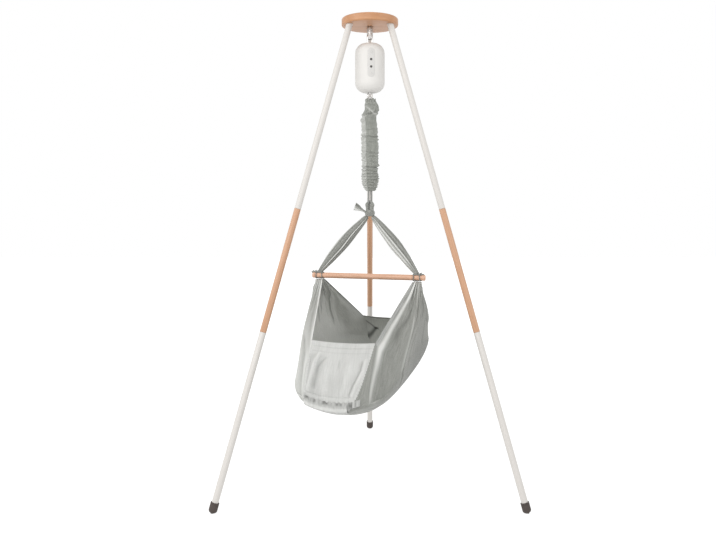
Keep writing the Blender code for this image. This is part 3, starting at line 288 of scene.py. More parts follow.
def ramp(tree, factor, low, high, out_low=0.0, out_high=1.0):
    made = put(tree, "ShaderNodeMapRange", {"interpolation_type": "SMOOTHSTEP"}, n0=factor)
    for place, value in zip(range(1, 5), (low, high, out_low, out_high)):
        made.inputs[place].default_value = value
    return made.outputs[0]


def mixed(tree, factor, first, second, blend="MIX"):
    made = tree.nodes.new("ShaderNodeMix")
    made.data_type = "RGBA"
    made.blend_type = blend
    for label, kind, value in (("Factor", "VALUE", factor), ("A", "RGBA", first), ("B", "RGBA", second)):
        socket = next(s for s in made.inputs if s.name == label and s.type == kind)
        if isinstance(value, bpy.types.NodeSocket):
            tree.links.new(value, socket)
        else:
            socket.default_value = value if label == "Factor" else (*value[:3], 1.0)
    return next(s for s in made.outputs if s.type == "RGBA")


def tinted(tree, colour, value):
    """A colour multiplied by a grey."""
    grey = put(tree, "ShaderNodeCombineColor", Red=value, Green=value, Blue=value).outputs[0]
    return mixed(tree, 1.0, colour, grey, "MULTIPLY")


def give(tree, outside, colour, height, roughness):
    """Links what a group gives to its outputs."""
    for label, socket in (("Colour", colour), ("Height", height), ("Roughness", roughness)):
        tree.links.new(socket, outside.inputs[label])
    return tree


def weave_group():
    """Plain-woven cloth: crossing threads, slubs, streaks and a soft mottle, on coordinates in metres."""
    inputs = {"Vector": None, "Cloth": (0.5, 0.5, 0.5, 1), "Threads": 900.0, "Contrast": 0.2, "Mottle": 0.2}
    tree, inside, outside = group_shell("woven_cloth", inputs)
    add, minus, times = formulas(tree)
    vector = inside.outputs["Vector"]
    place = put(tree, "ShaderNodeSeparateXYZ", n0=vector)
    threads = []
    for axis in (0, 1):
        turn = times(place.outputs[axis], inside.outputs["Threads"])
        threads.append(maths(tree, "SINE", times(turn, 2 * pi)))
    yarn = add(times(times(*threads), 0.5), 0.5)
    slub = speckle(tree, vector, 420.0, 3.0, 0.6)
    speck = speckle(tree, vector, 150.0, 4.0, 0.7)
    streak = speckle(tree, stretched(tree, vector, 1.0, 0.10, 1.0), 210.0, 3.0, 0.6)
    cloud = speckle(tree, vector, 9.0, 3.0, 0.55)
    value = 0.0
    for part, share in ((yarn, 0.5), (slub, 1.0), (speck, 1.1), (streak, 2.4)):
        value = add(value, times(minus(part, 0.5), share))
    value = add(times(value, inside.outputs["Contrast"]), times(minus(cloud, 0.5), inside.outputs["Mottle"]))
    colour = tinted(tree, inside.outputs["Cloth"], add(value, 1.0))
    height = add(times(yarn, 0.7), times(slub, 0.6))
    return give(tree, outside, colour, height, ramp(tree, slub, 0.3, 0.7, 0.82, 0.95))


def grain_group():
    """Beech: long grain along Z, darker late-wood bands and short flecks."""
    inputs = {"Vector": None, "Light": (0.6, 0.4, 0.2, 1), "Dark": (0.4, 0.2, 0.1, 1), "Bands": 60.0}
    tree, inside, outside = group_shell("beech_grain", inputs)
    add, _, times = formulas(tree)
    vector = inside.outputs["Vector"]
    drawn = stretched(tree, vector, 1.0, 1.0, 0.045)
    warp = put(tree, "ShaderNodeTexNoise", Vector=drawn, Scale=22.0, Detail=2.0).outputs["Color"]
    bent = put(
        tree, "ShaderNodeVectorMath", {"operation": "MULTIPLY_ADD"}, n0=warp, n1=(0.02, 0.02, 0.0), n2=drawn
    )
    place = put(tree, "ShaderNodeSeparateXYZ", n0=bent.outputs[0])
    turn = times(add(place.outputs[0], times(place.outputs[1], 0.35)), inside.outputs["Bands"])
    ring = add(times(maths(tree, "SINE", times(turn, 2 * pi)), 0.5), 0.5)
    cloud = speckle(tree, drawn, 38.0, 4.0, 0.6)
    fleck = speckle(tree, stretched(tree, vector, 1.0, 1.0, 0.10), 900.0, 2.0)
    streak = speckle(tree, drawn, 330.0, 3.0, 0.7)
    factor = add(times(ring, 0.22), times(ramp(tree, cloud, 0.35, 0.70), 0.42))
    factor = add(factor, times(ramp(tree, streak, 0.40, 0.75), 0.32))
    factor = add(factor, times(ramp(tree, fleck, 0.60, 0.72), 0.30), clamp=True)
    colour = mixed(tree, factor, inside.outputs["Light"], inside.outputs["Dark"])
    height = add(streak, times(fleck, 0.5))
    return give(tree, outside, colour, height, ramp(tree, streak, 0.3, 0.7, 0.38, 0.52))


def film_group():
    """The fine orange peel and faint clouding of a moulded or painted surface."""
    inputs = {"Vector": None, "Base": (0.8, 0.8, 0.8, 1), "Peel": 900.0, "Clouding": 0.05, "Rough": 0.4}
    tree, inside, outside = group_shell("film", inputs)
    add, minus, times = formulas(tree)
    vector = inside.outputs["Vector"]
    peel = speckle(tree, vector, inside.outputs["Peel"], 2.0)
    cloud = minus(speckle(tree, vector, 14.0, 4.0, 0.6), 0.5)
    dots = times(ramp(tree, speckle(tree, vector, 1500.0, 1.0), 0.68, 0.80), -0.05)
    value = add(add(times(cloud, inside.outputs["Clouding"]), dots), 1.0)
    rough = add(inside.outputs["Rough"], times(cloud, 0.12))
    return give(tree, outside, tinted(tree, inside.outputs["Base"], value), peel, rough)


GROUPS = {"weave": weave_group(), "grain": grain_group(), "film": film_group()}


def blank(name):
    made = bpy.data.materials.new(name)
    made.use_nodes = True
    return made, made.node_tree, made.node_tree.nodes["Principled BSDF"]


def use_group(tree, kind, **inputs):
    made = tree.nodes.new("ShaderNodeGroup")
    made.node_tree = GROUPS[kind]
    for key, value in inputs.items():
        socket = made.inputs[key]
        if isinstance(value, bpy.types.NodeSocket):
            tree.links.new(value, socket)
        else:
            socket.default_value = (*value, 1.0) if isinstance(value, tuple) and len(value) == 3 else value
    return made


def set_inputs(shader, **values):
    for key, value in values.items():
        shader.inputs[key.replace("_", " ")].default_value = value


def set_relief(tree, shader, strength, distance, height):
    relief = put(tree, "ShaderNodeBump", Strength=strength, Distance=distance, Height=height)
    tree.links.new(relief.outputs[0], shader.inputs["Normal"])


def finish_shader(tree, shader, group, strength, distance, colour=None):
    tree.links.new(colour or group.outputs["Colour"], shader.inputs["Base Color"])
    tree.links.new(group.outputs["Roughness"], shader.inputs["Roughness"])
    set_relief(tree, shader, strength, distance, group.outputs["Height"])


def object_place(tree):
    return put(tree, "ShaderNodeTexCoord").outputs["Object"]


def cut_place(tree):
    return put(tree, "ShaderNodeUVMap", {"uv_map": "cut"}).outputs[0]


def cloth_look(name, colour, threads=900.0, contrast=0.22, mottle=0.16):
    """Woven cloth on the piece's own UV map, in metres. Its tone attribute paints light and shade into its
    colour:
    a painted highlight on fold crests and lit sides, painted shade in creases and hollows."""
    made, tree, shader = blank(name)
    weave = {"Cloth": colour, "Threads": threads, "Contrast": contrast, "Mottle": mottle}
    group = use_group(tree, "weave", Vector=cut_place(tree), **weave)
    tone = put(tree, "ShaderNodeAttribute", {"attribute_name": "tone"}).outputs["Fac"]
    # Painted highlight where the tone is above 0, painted shade where it is below
    shown = mixed(tree, maths(tree, "MAXIMUM", tone, 0.0), group.outputs["Colour"], PAINTED_HIGHLIGHT_CLOTH)
    deep = maths(tree, "MULTIPLY", maths(tree, "MINIMUM", tone, 0.0), -0.75, clamp=True)
    finish_shader(tree, shader, group, 0.35, 0.0006, mixed(tree, deep, shown, PAINTED_SHADE_CLOTH))
    set_inputs(shader, Sheen_Weight=0.15, Sheen_Roughness=0.6, Specular_IOR_Level=0.25)
    set_inputs(shader, Subsurface_Weight=0.35, Subsurface_Radius=(1.0, 1.0, 1.0), Subsurface_Scale=0.003)
    return made


def wood_look(name, light, dark, turn=(0, 0, 0), bands=60.0):
    made, tree, shader = blank(name)
    along = put(tree, "ShaderNodeMapping", Vector=object_place(tree), Rotation=turn).outputs[0]
    group = use_group(tree, "grain", Vector=along, Light=light, Dark=dark, Bands=bands)
    finish_shader(tree, shader, group, 0.12, 0.0003)
    set_inputs(shader, Coat_Weight=0.18, Coat_Roughness=0.30)
    return made


def film_look(name, colour, rough, peel=900.0, clouding=0.05, relief=0.10, coat=0.0):
    made, tree, shader = blank(name)
    film = {"Base": colour, "Peel": peel, "Clouding": clouding, "Rough": rough}
    group = use_group(tree, "film", Vector=object_place(tree), **film)
    finish_shader(tree, shader, group, relief, 0.0002)
    set_inputs(shader, Coat_Weight=coat)
    return made


def steel_look(name, colour, rough):
    """Turned or drawn steel: fine rings of tool marks that only change the gloss and the relief."""
    made, tree, shader = blank(name)
    here = object_place(tree)
    marks = speckle(tree, stretched(tree, here, 0.12, 0.12, 1.0), 2600.0, 2.0)
    cloud = speckle(tree, here, 120.0, 3.0)
    tree.links.new(ramp(tree, marks, 0.3, 0.7, rough - 0.07, rough + 0.10), shader.inputs["Roughness"])
    colour = tinted(tree, colour, ramp(tree, cloud, 0.3, 0.7, 0.88, 1.05))
    tree.links.new(colour, shader.inputs["Base Color"])
    set_relief(tree, shader, 0.08, 0.0001, marks)
    set_inputs(shader, Metallic=1.0)
    return made


def braid_look(name, colour):
    """Braided cord: two sets of strands that cross round it, on the cord's own UV map."""
    made, tree, shader = blank(name)
    add, minus, times = formulas(tree)
    flat = cut_place(tree)
    place = put(tree, "ShaderNodeSeparateXYZ", n0=flat)
    along = times(place.outputs[1], 2 * pi / BRAID_PITCH)
    round_it = times(place.outputs[0], BRAID_STRANDS / CORD_RADIUS)
    strands = [maths(tree, "SINE", way(along, round_it)) for way in (add, minus)]
    strand = add(times(maths(tree, "MAXIMUM", *strands), 0.5), 0.5)
    fuzz = speckle(tree, flat, 1400.0, 3.0)
    colour = tinted(tree, colour, add(times(strand, 0.7), times(fuzz, 0.6)))
    tree.links.new(colour, shader.inputs["Base Color"])
    tree.links.new(ramp(tree, fuzz, 0.3, 0.7, 0.75, 0.92), shader.inputs["Roughness"])
    set_relief(tree, shader, 0.5, 0.0006, strand)
    return made


def leg_turn(name):
    """The rotation that stands a leg's own axis along Z, for its grain."""
    out = Vector((cos(LEG_AZIMUTHS[name]), sin(LEG_AZIMUTHS[name]), 0))
    down = (out * FOOT_CIRCLE - out * LEG_CIRCLE - Vector((0, 0, HUB_UNDER))).normalized()
    return down.rotation_difference(Vector((0, 0, -1))).to_euler()


LOOKS = {
    "paint": film_look("powder_coat_white", WHITE_PAINT, 0.38, 1300.0, 0.05, 0.16),
    "case": film_look("casing_white", CASE_WHITE, 0.62, 1600.0, 0.03, 0.05),
    "strip": film_look("strip_white", STRIP_WHITE, 0.45, 1600.0, 0.03, 0.04, 0.10),
    "dark": film_look("dark_plastic", DARK_PLASTIC, 0.42, 1200.0, 0.20, 0.10),
    "rubber": film_look("foot_rubber", RUBBER, 0.68, 700.0, 0.45, 0.30),
    "board": film_look("board_green", BOARD_GREEN, 0.45, 500.0, 0.15, 0.05),
    "steel": steel_look("turned_steel", STEEL, 0.30),
    "bright": steel_look("plated_steel", BRIGHT_STEEL, 0.20),
    "hub_wood": wood_look("hub_beech", HUB_LIGHT, HUB_DARK, (0, pi / 2, 0), 46.0),
    "bar_wood": wood_look("bar_beech", BAR_LIGHT, BAR_DARK, (0, pi / 2, -CRADLE_TURN), 90.0),
    "cloth": cloth_look("grey_cloth", GREY_CLOTH, contrast=0.34),
    # Inside faces: the same grey cloth made paler as painted light
    "inner": cloth_look("grey_cloth_inside_painted_light", INNER_CLOTH_PAINTED_LIGHT),
    "pale": cloth_look("pale_cloth", PALE_CLOTH, contrast=0.14, mottle=0.10),
    "sleeve": cloth_look("sleeve_cloth", SLEEVE_CLOTH, 700.0, 0.26, 0.20),
    "hem": cloth_look("hem_cloth", HEM_CLOTH, 170.0, 0.45, 0.12),
    "cord": braid_look("braided_cord", CORD_GREY),
    "webbing": cloth_look("dark_webbing", WEBBING, 420.0, 0.5, 0.1),
}
for leg_name in LEG_AZIMUTHS:
    LOOKS[f"wood_{leg_name}"] = wood_look(
        f"leg_beech_{leg_name}", BEECH_LIGHT, BEECH_DARK, leg_turn(leg_name), 70.0
    )


# Modelling helpers


def choose(piece):
    bpy.ops.object.select_all(action="DESELECT")
    piece.select_set(True)
    bpy.context.view_layer.objects.active = piece


def edit(piece):
    choose(piece)
    bpy.ops.object.mode_set(mode="EDIT")


def leave():
    bpy.ops.object.mode_set(mode="OBJECT")


def pick(piece, test):
    """Selects a piece's edges, in edit mode, that pass a test of their middle point and their run."""
    bpy.ops.mesh.select_mode(type="EDGE")
    bpy.ops.mesh.select_all(action="DESELECT")
    bm = bmesh.from_edit_mesh(piece.data)
    for edge in bm.edges:
        a, b = edge.verts[0].co, edge.verts[1].co
        edge.select_set(test((a + b) / 2, b - a))
    bm.select_flush_mode()
    bmesh.update_edit_mesh(piece.data)


def apply_modifier(piece, name):
    choose(piece)
    bpy.ops.object.modifier_apply(modifier=name)


def soften(piece, width, segments=3, angle=35):
    """Rounds every sharp edge of a piece."""
    modifier = piece.modifiers.new("soften", "BEVEL")
    modifier.width = width
    modifier.segments = segments
    modifier.limit_method = "ANGLE"
    modifier.angle_limit = radians(angle)
    modifier.use_clamp_overlap = True
    apply_modifier(piece, "soften")


def cut(piece, tool, operation="DIFFERENCE"):
    modifier = piece.modifiers.new("cut", "BOOLEAN")
    modifier.operation = operation
    modifier.solver = "EXACT"
    modifier.object = tool
    apply_modifier(piece, "cut")
    bpy.data.objects.remove(tool, do_unlink=True)


def shade(piece, angle=40):
    choose(piece)
    bpy.ops.object.shade_smooth_by_angle(angle=radians(angle))


def place(piece, matrix):
    """Puts the piece's place into its mesh, so that its object stands at the origin."""
    choose(piece)
    bpy.ops.object.transform_apply(location=True, rotation=True, scale=True)
    piece.data.transform(matrix)
    piece.data.update()


def hand_over(piece, name, look, body, nodes=(), matrix=Matrix(), angle=40):
    """Names a finished piece, gives it its finish, and sets it on its body in place of its nodes."""
    place(piece, matrix)
    shade(piece, angle)
    piece.data.materials.clear()
    piece.data.materials.append(LOOKS[look])
    return settle(piece, name, body, nodes)


def settle(piece, name, body, nodes):
    piece.name = name
    piece.data.name = name
    if body:
        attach(piece, body)
    if nodes:
        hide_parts(*nodes)
    return piece


def rod(radius, low, high, sides=ROUND_STEPS, rim=0.0, along="Z"):
    """A round rod from low to high with rounded rims."""
    bpy.ops.object.select_all(action="DESELECT")
    middle = (0, 0, (low + high) / 2)
    bpy.ops.mesh.primitive_cylinder_add(vertices=sides, radius=radius, depth=high - low, location=middle)
    piece = bpy.context.active_object
    place(piece, Matrix())
    if rim:
        edit(piece)
        pick(piece, lambda middle, run: abs(run.z) < MERGE)
        bpy.ops.mesh.bevel(offset=rim, segments=4, affect="EDGES")
        leave()
    if along != "Z":
        place(piece, Matrix.Rotation(pi / 2, 4, "X" if along == "Y" else "Y"))
    return piece


def block(low, high, rim=0.0):
    bpy.ops.object.select_all(action="DESELECT")
    middle = (Vector(low) + Vector(high)) / 2
    bpy.ops.mesh.primitive_cube_add(size=1, location=middle, scale=Vector(high) - Vector(low))
    piece = bpy.context.active_object
    place(piece, Matrix())
    if rim:
        edit(piece)
        bpy.ops.mesh.select_all(action="SELECT")
        bpy.ops.mesh.bevel(offset=rim, segments=3, affect="EDGES")
        leave()
    return piece


def spun(profile, steps=ROUND_STEPS, angle=2 * pi, start=0.0):
    """A turned piece: one point is extruded from corner to corner of the profile, which is then spun round
    Z."""
    bpy.ops.object.select_all(action="DESELECT")
    bpy.ops.mesh.primitive_plane_add(size=0.001, location=(0, 0, 0))
    piece = bpy.context.active_object
    edit(piece)
    bpy.ops.mesh.select_mode(type="VERT")
    bpy.ops.mesh.select_all(action="SELECT")
    bpy.ops.mesh.merge(type="CENTER")
    bpy.ops.transform.translate(value=(profile[0][0], 0, profile[0][1]))
    for (r, z), (next_r, next_z) in zip(profile, profile[1:]):
        bpy.ops.mesh.extrude_region_move(TRANSFORM_OT_translate={"value": (next_r - r, 0, next_z - z)})
    bpy.ops.mesh.select_all(action="SELECT")
    bpy.ops.mesh.spin(steps=steps, angle=angle, center=(0, 0, 0), axis=(0, 0, 1))
    bpy.ops.mesh.select_all(action="SELECT")
    bpy.ops.mesh.remove_doubles(threshold=MERGE)
    bpy.ops.mesh.select_all(action="DESELECT")
    if angle < 2 * pi:
        bpy.ops.mesh.select_non_manifold()
        bpy.ops.mesh.fill_holes(sides=0)
    bpy.ops.mesh.select_all(action="SELECT")
    bpy.ops.mesh.normals_make_consistent(inside=False)
    leave()
    if start:
        place(piece, Matrix.Rotation(start, 4, "Z"))
    return piece


def arc(centre, radius, first, last, steps):
    """Profile points round a corner, from one angle to another in degrees."""
    angles = np.radians(np.linspace(first, last, steps + 1))
    return [(centre[0] + radius * cos(a), centre[1] + radius * sin(a)) for a in angles]


def tube(points, radius, sides=24, cyclic=False):
    """A round tube along points, with a UV map in metres: round it and along it."""
    bm = bmesh.new()
    layer = bm.loops.layers.uv.new("cut")
    points = [Vector(p) for p in points]
    count = len(points)
    side = Vector((0.01, 1, 0.02))
    rings = []
    run = 0.0
    for i, point in enumerate(points):
        ahead = points[(i + 1) % count] if cyclic else points[min(i + 1, count - 1)]
        behind = points[i - 1] if cyclic or i else point
        forward = (ahead - behind).normalized()
        side = (side - forward * side.dot(forward)).normalized()
        other = forward.cross(side)
        run += (point - points[i - 1]).length if i else 0.0
        thick = radius(i / (count - 1)) if callable(radius) else radius
        ring = [
            bm.verts.new(point + thick * (other * cos(2 * pi * k / sides) + side * sin(2 * pi * k / sides)))
            for k in range(sides)
        ]
        rings.append((ring, run, thick))
    pairs = list(zip(rings, rings[1:]))
    if cyclic:
        first, _, thick = rings[0]
        pairs.append((rings[-1], (first, run + (points[0] - points[-1]).length, thick)))
    for (low, v0, r0), (high, v1, _) in pairs:
        for k in range(sides):
            j = (k + 1) % sides
            face = bm.faces.new((low[k], low[j], high[j], high[k]))
            places = ((k, v0), (k + 1, v0), (k + 1, v1), (k, v1))
            for loop, (turn, v) in zip(face.loops, places):
                loop[layer].uv = (turn / sides * 2 * pi * r0, v)
    if not cyclic:
        bm.faces.new(rings[0][0][::-1])
        bm.faces.new(rings[-1][0])
    bmesh.ops.recalc_face_normals(bm, faces=bm.faces)
    mesh = bpy.data.meshes.new("tube")
    bm.to_mesh(mesh)
    bm.free()
    made = bpy.data.objects.new("tube", mesh)
    bpy.context.scene.collection.objects.link(made)
    return made


def displaced(points, heights):
    """A grid of points moved along its own normals."""
    normals = np.cross(np.gradient(points, axis=0), np.gradient(points, axis=1))
    length = np.linalg.norm(normals, axis=2, keepdims=True)
    return points + normals / np.maximum(length, 1e-12) * heights[..., None]


def fabric(cells, wrap=False):
    """A grid of cells as a mesh: each is a point, its place on the flat cloth, its tone, which is painted
    light and shade, and how far it stands out
    along the grid's normal, if it does. A wrapped grid goes round a closed body."""
    cells = np.array(cells, float)
    rows, columns, count = cells.shape
    points = cells[..., :3] if count < 7 else displaced(cells[..., :3], cells[..., 6])
    corner = np.arange(rows * columns).reshape(rows, columns)
    after = np.roll(corner, -1, axis=1)
    quads = np.stack([corner[:-1], after[:-1], after[1:], corner[1:]], axis=-1)
    quads = (quads if wrap else quads[:, :-1]).reshape(-1, 4)
    mesh = bpy.data.meshes.new("fabric")
    mesh.from_pydata(points.reshape(-1, 3).tolist(), [], quads.tolist())
    flat = cells[..., 3:5].reshape(-1, 2)[quads]
    if wrap:
        girth = cells[0, -1, 3] + (cells[0, 1, 3] - cells[0, 0, 3])
        flat[flat[:, 1, 0] < flat[:, 0, 0], 1:3, 0] = girth
    mesh.uv_layers.new(name="cut").data.foreach_set("uv", flat.ravel())
    # The tone attribute: painted highlight where above 0, painted shade where below
    mesh.attributes.new("tone", "FLOAT", "POINT").data.foreach_set(
        "value", cells[..., 5].astype(np.float32).ravel()
    )
    made = bpy.data.objects.new("fabric", mesh)
    bpy.context.scene.collection.objects.link(made)
    return made


def close_ends(piece):
    """Fills the open ends of a wrapped grid."""
    edit(piece)
    bpy.ops.mesh.select_mode(type="EDGE")
    bpy.ops.mesh.select_all(action="DESELECT")
    bpy.ops.mesh.select_non_manifold()
    bpy.ops.mesh.fill_holes(sides=0)
    bpy.ops.mesh.select_all(action="SELECT")
    bpy.ops.mesh.normals_make_consistent(inside=False)
    leave()
    return piece


def thicken(piece, thickness, offset=0.0):
    """Gives a cloth its thickness."""
    modifier = piece.modifiers.new("thickness", "SOLIDIFY")
    modifier.thickness = thickness
    modifier.offset = offset
    modifier.use_even_offset = False
    modifier.use_rim = True
    apply_modifier(piece, "thickness")


def dress(piece, name, looks, body, nodes=(), matrix=CRADLE):
    """Names a cloth piece, places it, gives it its finishes, the second one inside the hull, and sets it on
    its body. The inside finish is paler than the outside as painted light."""
    piece.data.materials.clear()
    for look in looks:
        piece.data.materials.append(LOOKS[look])
    if len(looks) > 1:
        for face in piece.data.polygons:
            face.material_index = int((Vector(face.center) - HULL_CENTRE).dot(face.normal) < 0)
    place(piece, matrix)
    piece.data.shade_smooth()
    return settle(piece, name, body, nodes)


def sew(cells, name, looks, nodes=(), thickness=CLOTH, merge=False):
    """A sheet of the cradle with its faces turned out and its thickness outside them."""
    piece = fabric(cells)
    if merge:
        edit(piece)
        bpy.ops.mesh.select_all(action="SELECT")
        bpy.ops.mesh.remove_doubles(threshold=MERGE)
        leave()
    turn_out(piece)
    thicken(piece, thickness, 1.0)
    return dress(piece, name, looks, "cradle", nodes)


# Stand


def leg_frame(name):
    """The matrix of a leg: Z runs down the leg from the hub's underside. Also the leg's length."""
    out = Vector((cos(LEG_AZIMUTHS[name]), sin(LEG_AZIMUTHS[name]), 0))
    top = out * LEG_CIRCLE + Vector((0, HUB_Y, HUB_UNDER))
    foot = out * FOOT_CIRCLE + Vector((0, HUB_Y, 0))
    down = (foot - top).normalized()
    side = Vector((0, 0, 1)).cross(out)
    across = side.cross(down)
    turn = Matrix((across, side, down)).transposed().to_4x4()
    return Matrix.Translation(top) @ turn, (foot - top).length


def level_cut(piece, height, keep_above):
    """Cuts a piece on a level plane and closes it there."""
    edit(piece)
    bpy.ops.mesh.select_all(action="SELECT")
    bpy.ops.mesh.bisect(
        plane_co=(0, 0, height),
        plane_no=(0, 0, 1),
        use_fill=True,
        clear_inner=keep_above,
        clear_outer=not keep_above,
    )
    leave()


def hub():
    centre = HUB_RADIUS - HUB_ROUND
    profile = [(0, HUB_UNDER), (HUB_RADIUS * 0.5, HUB_UNDER)]
    profile += arc((centre, HUB_UNDER + HUB_ROUND), HUB_ROUND, -90, 0, 6)
    profile += arc((centre, HUB_TOP - HUB_ROUND), HUB_ROUND, 0, 90, 6)
    profile += [(HUB_RADIUS * 0.5, HUB_TOP), (0, HUB_TOP)]
    disc = spun(profile, 128)
    cut(disc, rod(BOLT_RADIUS + 0.0005, HUB_UNDER - 0.01, HUB_TOP + 0.01, 32))
    cut(disc, rod(0.014, HUB_TOP - 0.010, HUB_TOP + 0.01))
    hand_over(disc, "hub", "hub_wood", "stand", ["hub_disc"], HANG)


def leg(name):
    """A leg's white tubes, beech section and rubber foot, from the hub down."""
    matrix, length = leg_frame(name)
    wood_low = WOOD_START * length
    wood_high = WOOD_END * length
    inner = LEG_RADIUS - LEG_WALL
    edge = JOINT_ROUND
    end = wood_low - GAP
    profile = [(inner, -0.03), (LEG_RADIUS, -0.03), (LEG_RADIUS, end - edge)]
    profile += arc((LEG_RADIUS - edge, end - edge), edge, 0, 90, 3) + [(inner, end), (inner, -0.03)]
    upper = spun(profile)
    place(upper, matrix)
    level_cut(upper, HUB_UNDER - GAP, keep_above=False)
    hand_over(upper, f"upper_tube_{name}", "paint", "stand", [f"upper_leg_tube_{name}"])

    bore = 0.0063
    profile = [(0, wood_low + 0.030), (bore, wood_low + 0.030), (bore, wood_low)]
    profile += arc((LEG_RADIUS - edge, wood_low + edge), edge, -90, 0, 3)
    profile += arc((LEG_RADIUS - edge, wood_high - edge), edge, 0, 90, 3)
    profile += [(bore, wood_high), (bore, wood_high - 0.030), (0, wood_high - 0.030)]
    wood = spun(profile)
    hand_over(
        wood, f"beech_section_{name}", f"wood_{name}", "stand", [f"wood_section_{name}"], matrix
    )

    start = wood_high + GAP
    end = length - FOOT_FLOOR
    profile = [(inner, start)] + arc((LEG_RADIUS - edge, start + edge), edge, -90, 0, 3)
    profile += [(LEG_RADIUS, end), (inner, end), (inner, start)]
    lower = spun(profile)
    hand_over(
        lower, f"lower_tube_{name}", "paint", "stand", [f"lower_leg_tube_{name}"], matrix
    )

    bore = LEG_RADIUS + GAP
    lip = length - FOOT_LENGTH
    profile = [(0, end + GAP), (bore, end + GAP), (bore, lip)]
    profile += arc((FOOT_RADIUS - 0.0010, lip + 0.0010), 0.0010, -90, 0, 3)
    profile += [(FOOT_RADIUS, lip + 0.006), (FOOT_RADIUS - 0.0005, lip + 0.0066), (FOOT_RADIUS, lip + 0.0072)]
    profile += arc((FOOT_RADIUS - 0.0115, length - 0.0125), 0.0115, 0, 72, 8)
    profile += [(0.0060, length + 0.0015), (0, length + 0.0020)]
    foot = spun(profile)
    place(foot, matrix)
    level_cut(foot, 0.0, keep_above=True)
    hand_over(foot, f"foot_{name}", "rubber", "stand", [f"rubber_foot_{name}"])


def hanger():
    top = HUB_TOP - 0.0008
    profile = [(0, 1.8705), (0.0092, 1.8705), (0.0100, 1.8713), (0.0100, 1.8745), (BOLT_RADIUS, 1.8745)]
    profile += [(BOLT_RADIUS, top - 0.0006), (BOLT_RADIUS - 0.0006, top), (0, top)]
    hand_over(spun(profile, 40), "hub_bolt", "steel", "stand", ["hanger_bolt"], HANG)
    seat = HUB_TOP - 0.010 + GAP
    bore = BOLT_RADIUS + GAP
    profile = [(bore, seat), (0.0125, seat), (0.0125, seat + 0.0013), (0.0122, seat + 0.0016)]
    profile += [(bore, seat + 0.0016), (bore, seat)]
    hand_over(spun(profile, 48), "hub_washer", "bright", "stand", ["hanger_washer"], HANG)
    low = seat + 0.0016 + GAP
    nut = rod(0.0095, low, low + 0.006, 6)
    soften(nut, 0.0004, 2)
    cut(nut, rod(bore, low - 0.01, low + 0.02, 40))
    hand_over(nut, "hub_nut", "bright", "stand", ["hanger_nut"], HANG, 30)


# Hanging gear


def swivel():
    neck = BOLT_RADIUS + 0.0005
    profile = [(neck, 1.8985)] + arc((0.0110, 1.8965), 0.0020, 90, 0, 4)
    profile += [(0.0130, 1.8860), (0.0124, 1.8854), (0.0124, 1.8840), (0.0130, 1.8834)]
    profile += [(0.0130, 1.8668), (0.0122, 1.8660), (0.0105, 1.8660), (0.0105, 1.8755)]
    profile += [(neck, 1.8755), (neck, 1.8985)]
    body = spun(profile, 48)
    for way in (-1, 1):
        ear = block((-0.007, way * 0.0098 - 0.0027, 1.8465), (0.007, way * 0.0098 + 0.0027, 1.8698), 0.0012)
        cut(body, ear, "UNION")
    bore = rod(PIN_RADIUS + GAP, -0.02, 0.02, 32, along="Y")
    place(bore, Matrix.Translation((0, 0, PIN_Z)))
    cut(body, bore)
    hand_over(body, "swivel_block", "steel", "swivel", ["swivel_housing"], GEAR, 30)
    half = 0.0128
    head = PIN_RADIUS + 0.0013
    profile = [(0, -half - 0.0012), (head - 0.0005, -half - 0.0012), (head, -half - 0.0007)]
    profile += [(head, -half), (PIN_RADIUS, -half)]
    profile += [(radius, -height) for radius, height in reversed(profile)]
    pin = spun(profile, 40)
    along_y = Matrix.Translation((0, 0, PIN_Z)) @ Matrix.Rotation(pi / 2, 4, "X")
    hand_over(pin, "cross_pin", "bright", "swivel", ["swivel_pin"], GEAR @ along_y)


def link():
    """The closed link between the swivel's pin and the casing's lug."""
    bend = 0.0060
    top = LINK_TOP - LINK_HALF
    points = [(LINK_HALF * cos(a), 0, top + LINK_HALF * sin(a)) for a in np.linspace(0, pi, 25)]
    for way in (-1, 1):
        start = pi if way < 0 else 1.5 * pi
        points += [
            (way * (LINK_HALF - bend) + bend * cos(a), 0, LINK_BOTTOM + bend + bend * sin(a))
            for a in np.linspace(start, start + pi / 2, 11)
        ]
    hand_over(
        tube(points, LINK_RADIUS, 24, True), "link", "bright", "link", ["suspension_link"], GEAR, 60
    )


def case_outline(inset=0.0):
    centre = CASE_RADIUS - CASE_ROUND
    bend = CASE_ROUND - inset
    outline = [(CASE_HOLES[0], CASE_TOP - inset)]
    outline += arc((centre, CASE_TOP - CASE_ROUND), bend, 90, 0, 12)
    outline += arc((centre, CASE_BOTTOM + CASE_ROUND), bend, 0, -90, 12)
    return outline + [(CASE_HOLES[1], CASE_BOTTOM + inset)]


def half_case(start):
    outside = case_outline()
    profile = outside + case_outline(CASE_WALL)[::-1] + outside[:1]
    half = spun(profile, 48, pi, start)
    soften(half, 0.0004, 2, 50)
    return half


def pill(half, low, high, front, back, rim=0.0):
    """A pill-shaped plate: a disc whose upper half is moved up."""
    plate = rod(half, -(back - front) / 2, (back - front) / 2, 64, along="Y")
    edit(plate)
    bm = bmesh.from_edit_mesh(plate.data)
    for vert in bm.verts:
        vert.co.z += high - half if vert.co.z > -MERGE else low + half
        vert.co.y += (front + back) / 2
    bmesh.update_edit_mesh(plate.data)
    leave()
    if rim:
        edit(plate)
        pick(plate, lambda middle, run: abs(run.y) < MERGE and middle.y < front + MERGE)
        bpy.ops.mesh.bevel(offset=rim, segments=3, affect="EDGES")
        leave()
    return plate


def button_bore(height, radius):
    bore = rod(radius, -0.010, 0.010, 40, along="Y")
    place(bore, Matrix.Translation((0, STRIP_FRONT, height)))
    return bore


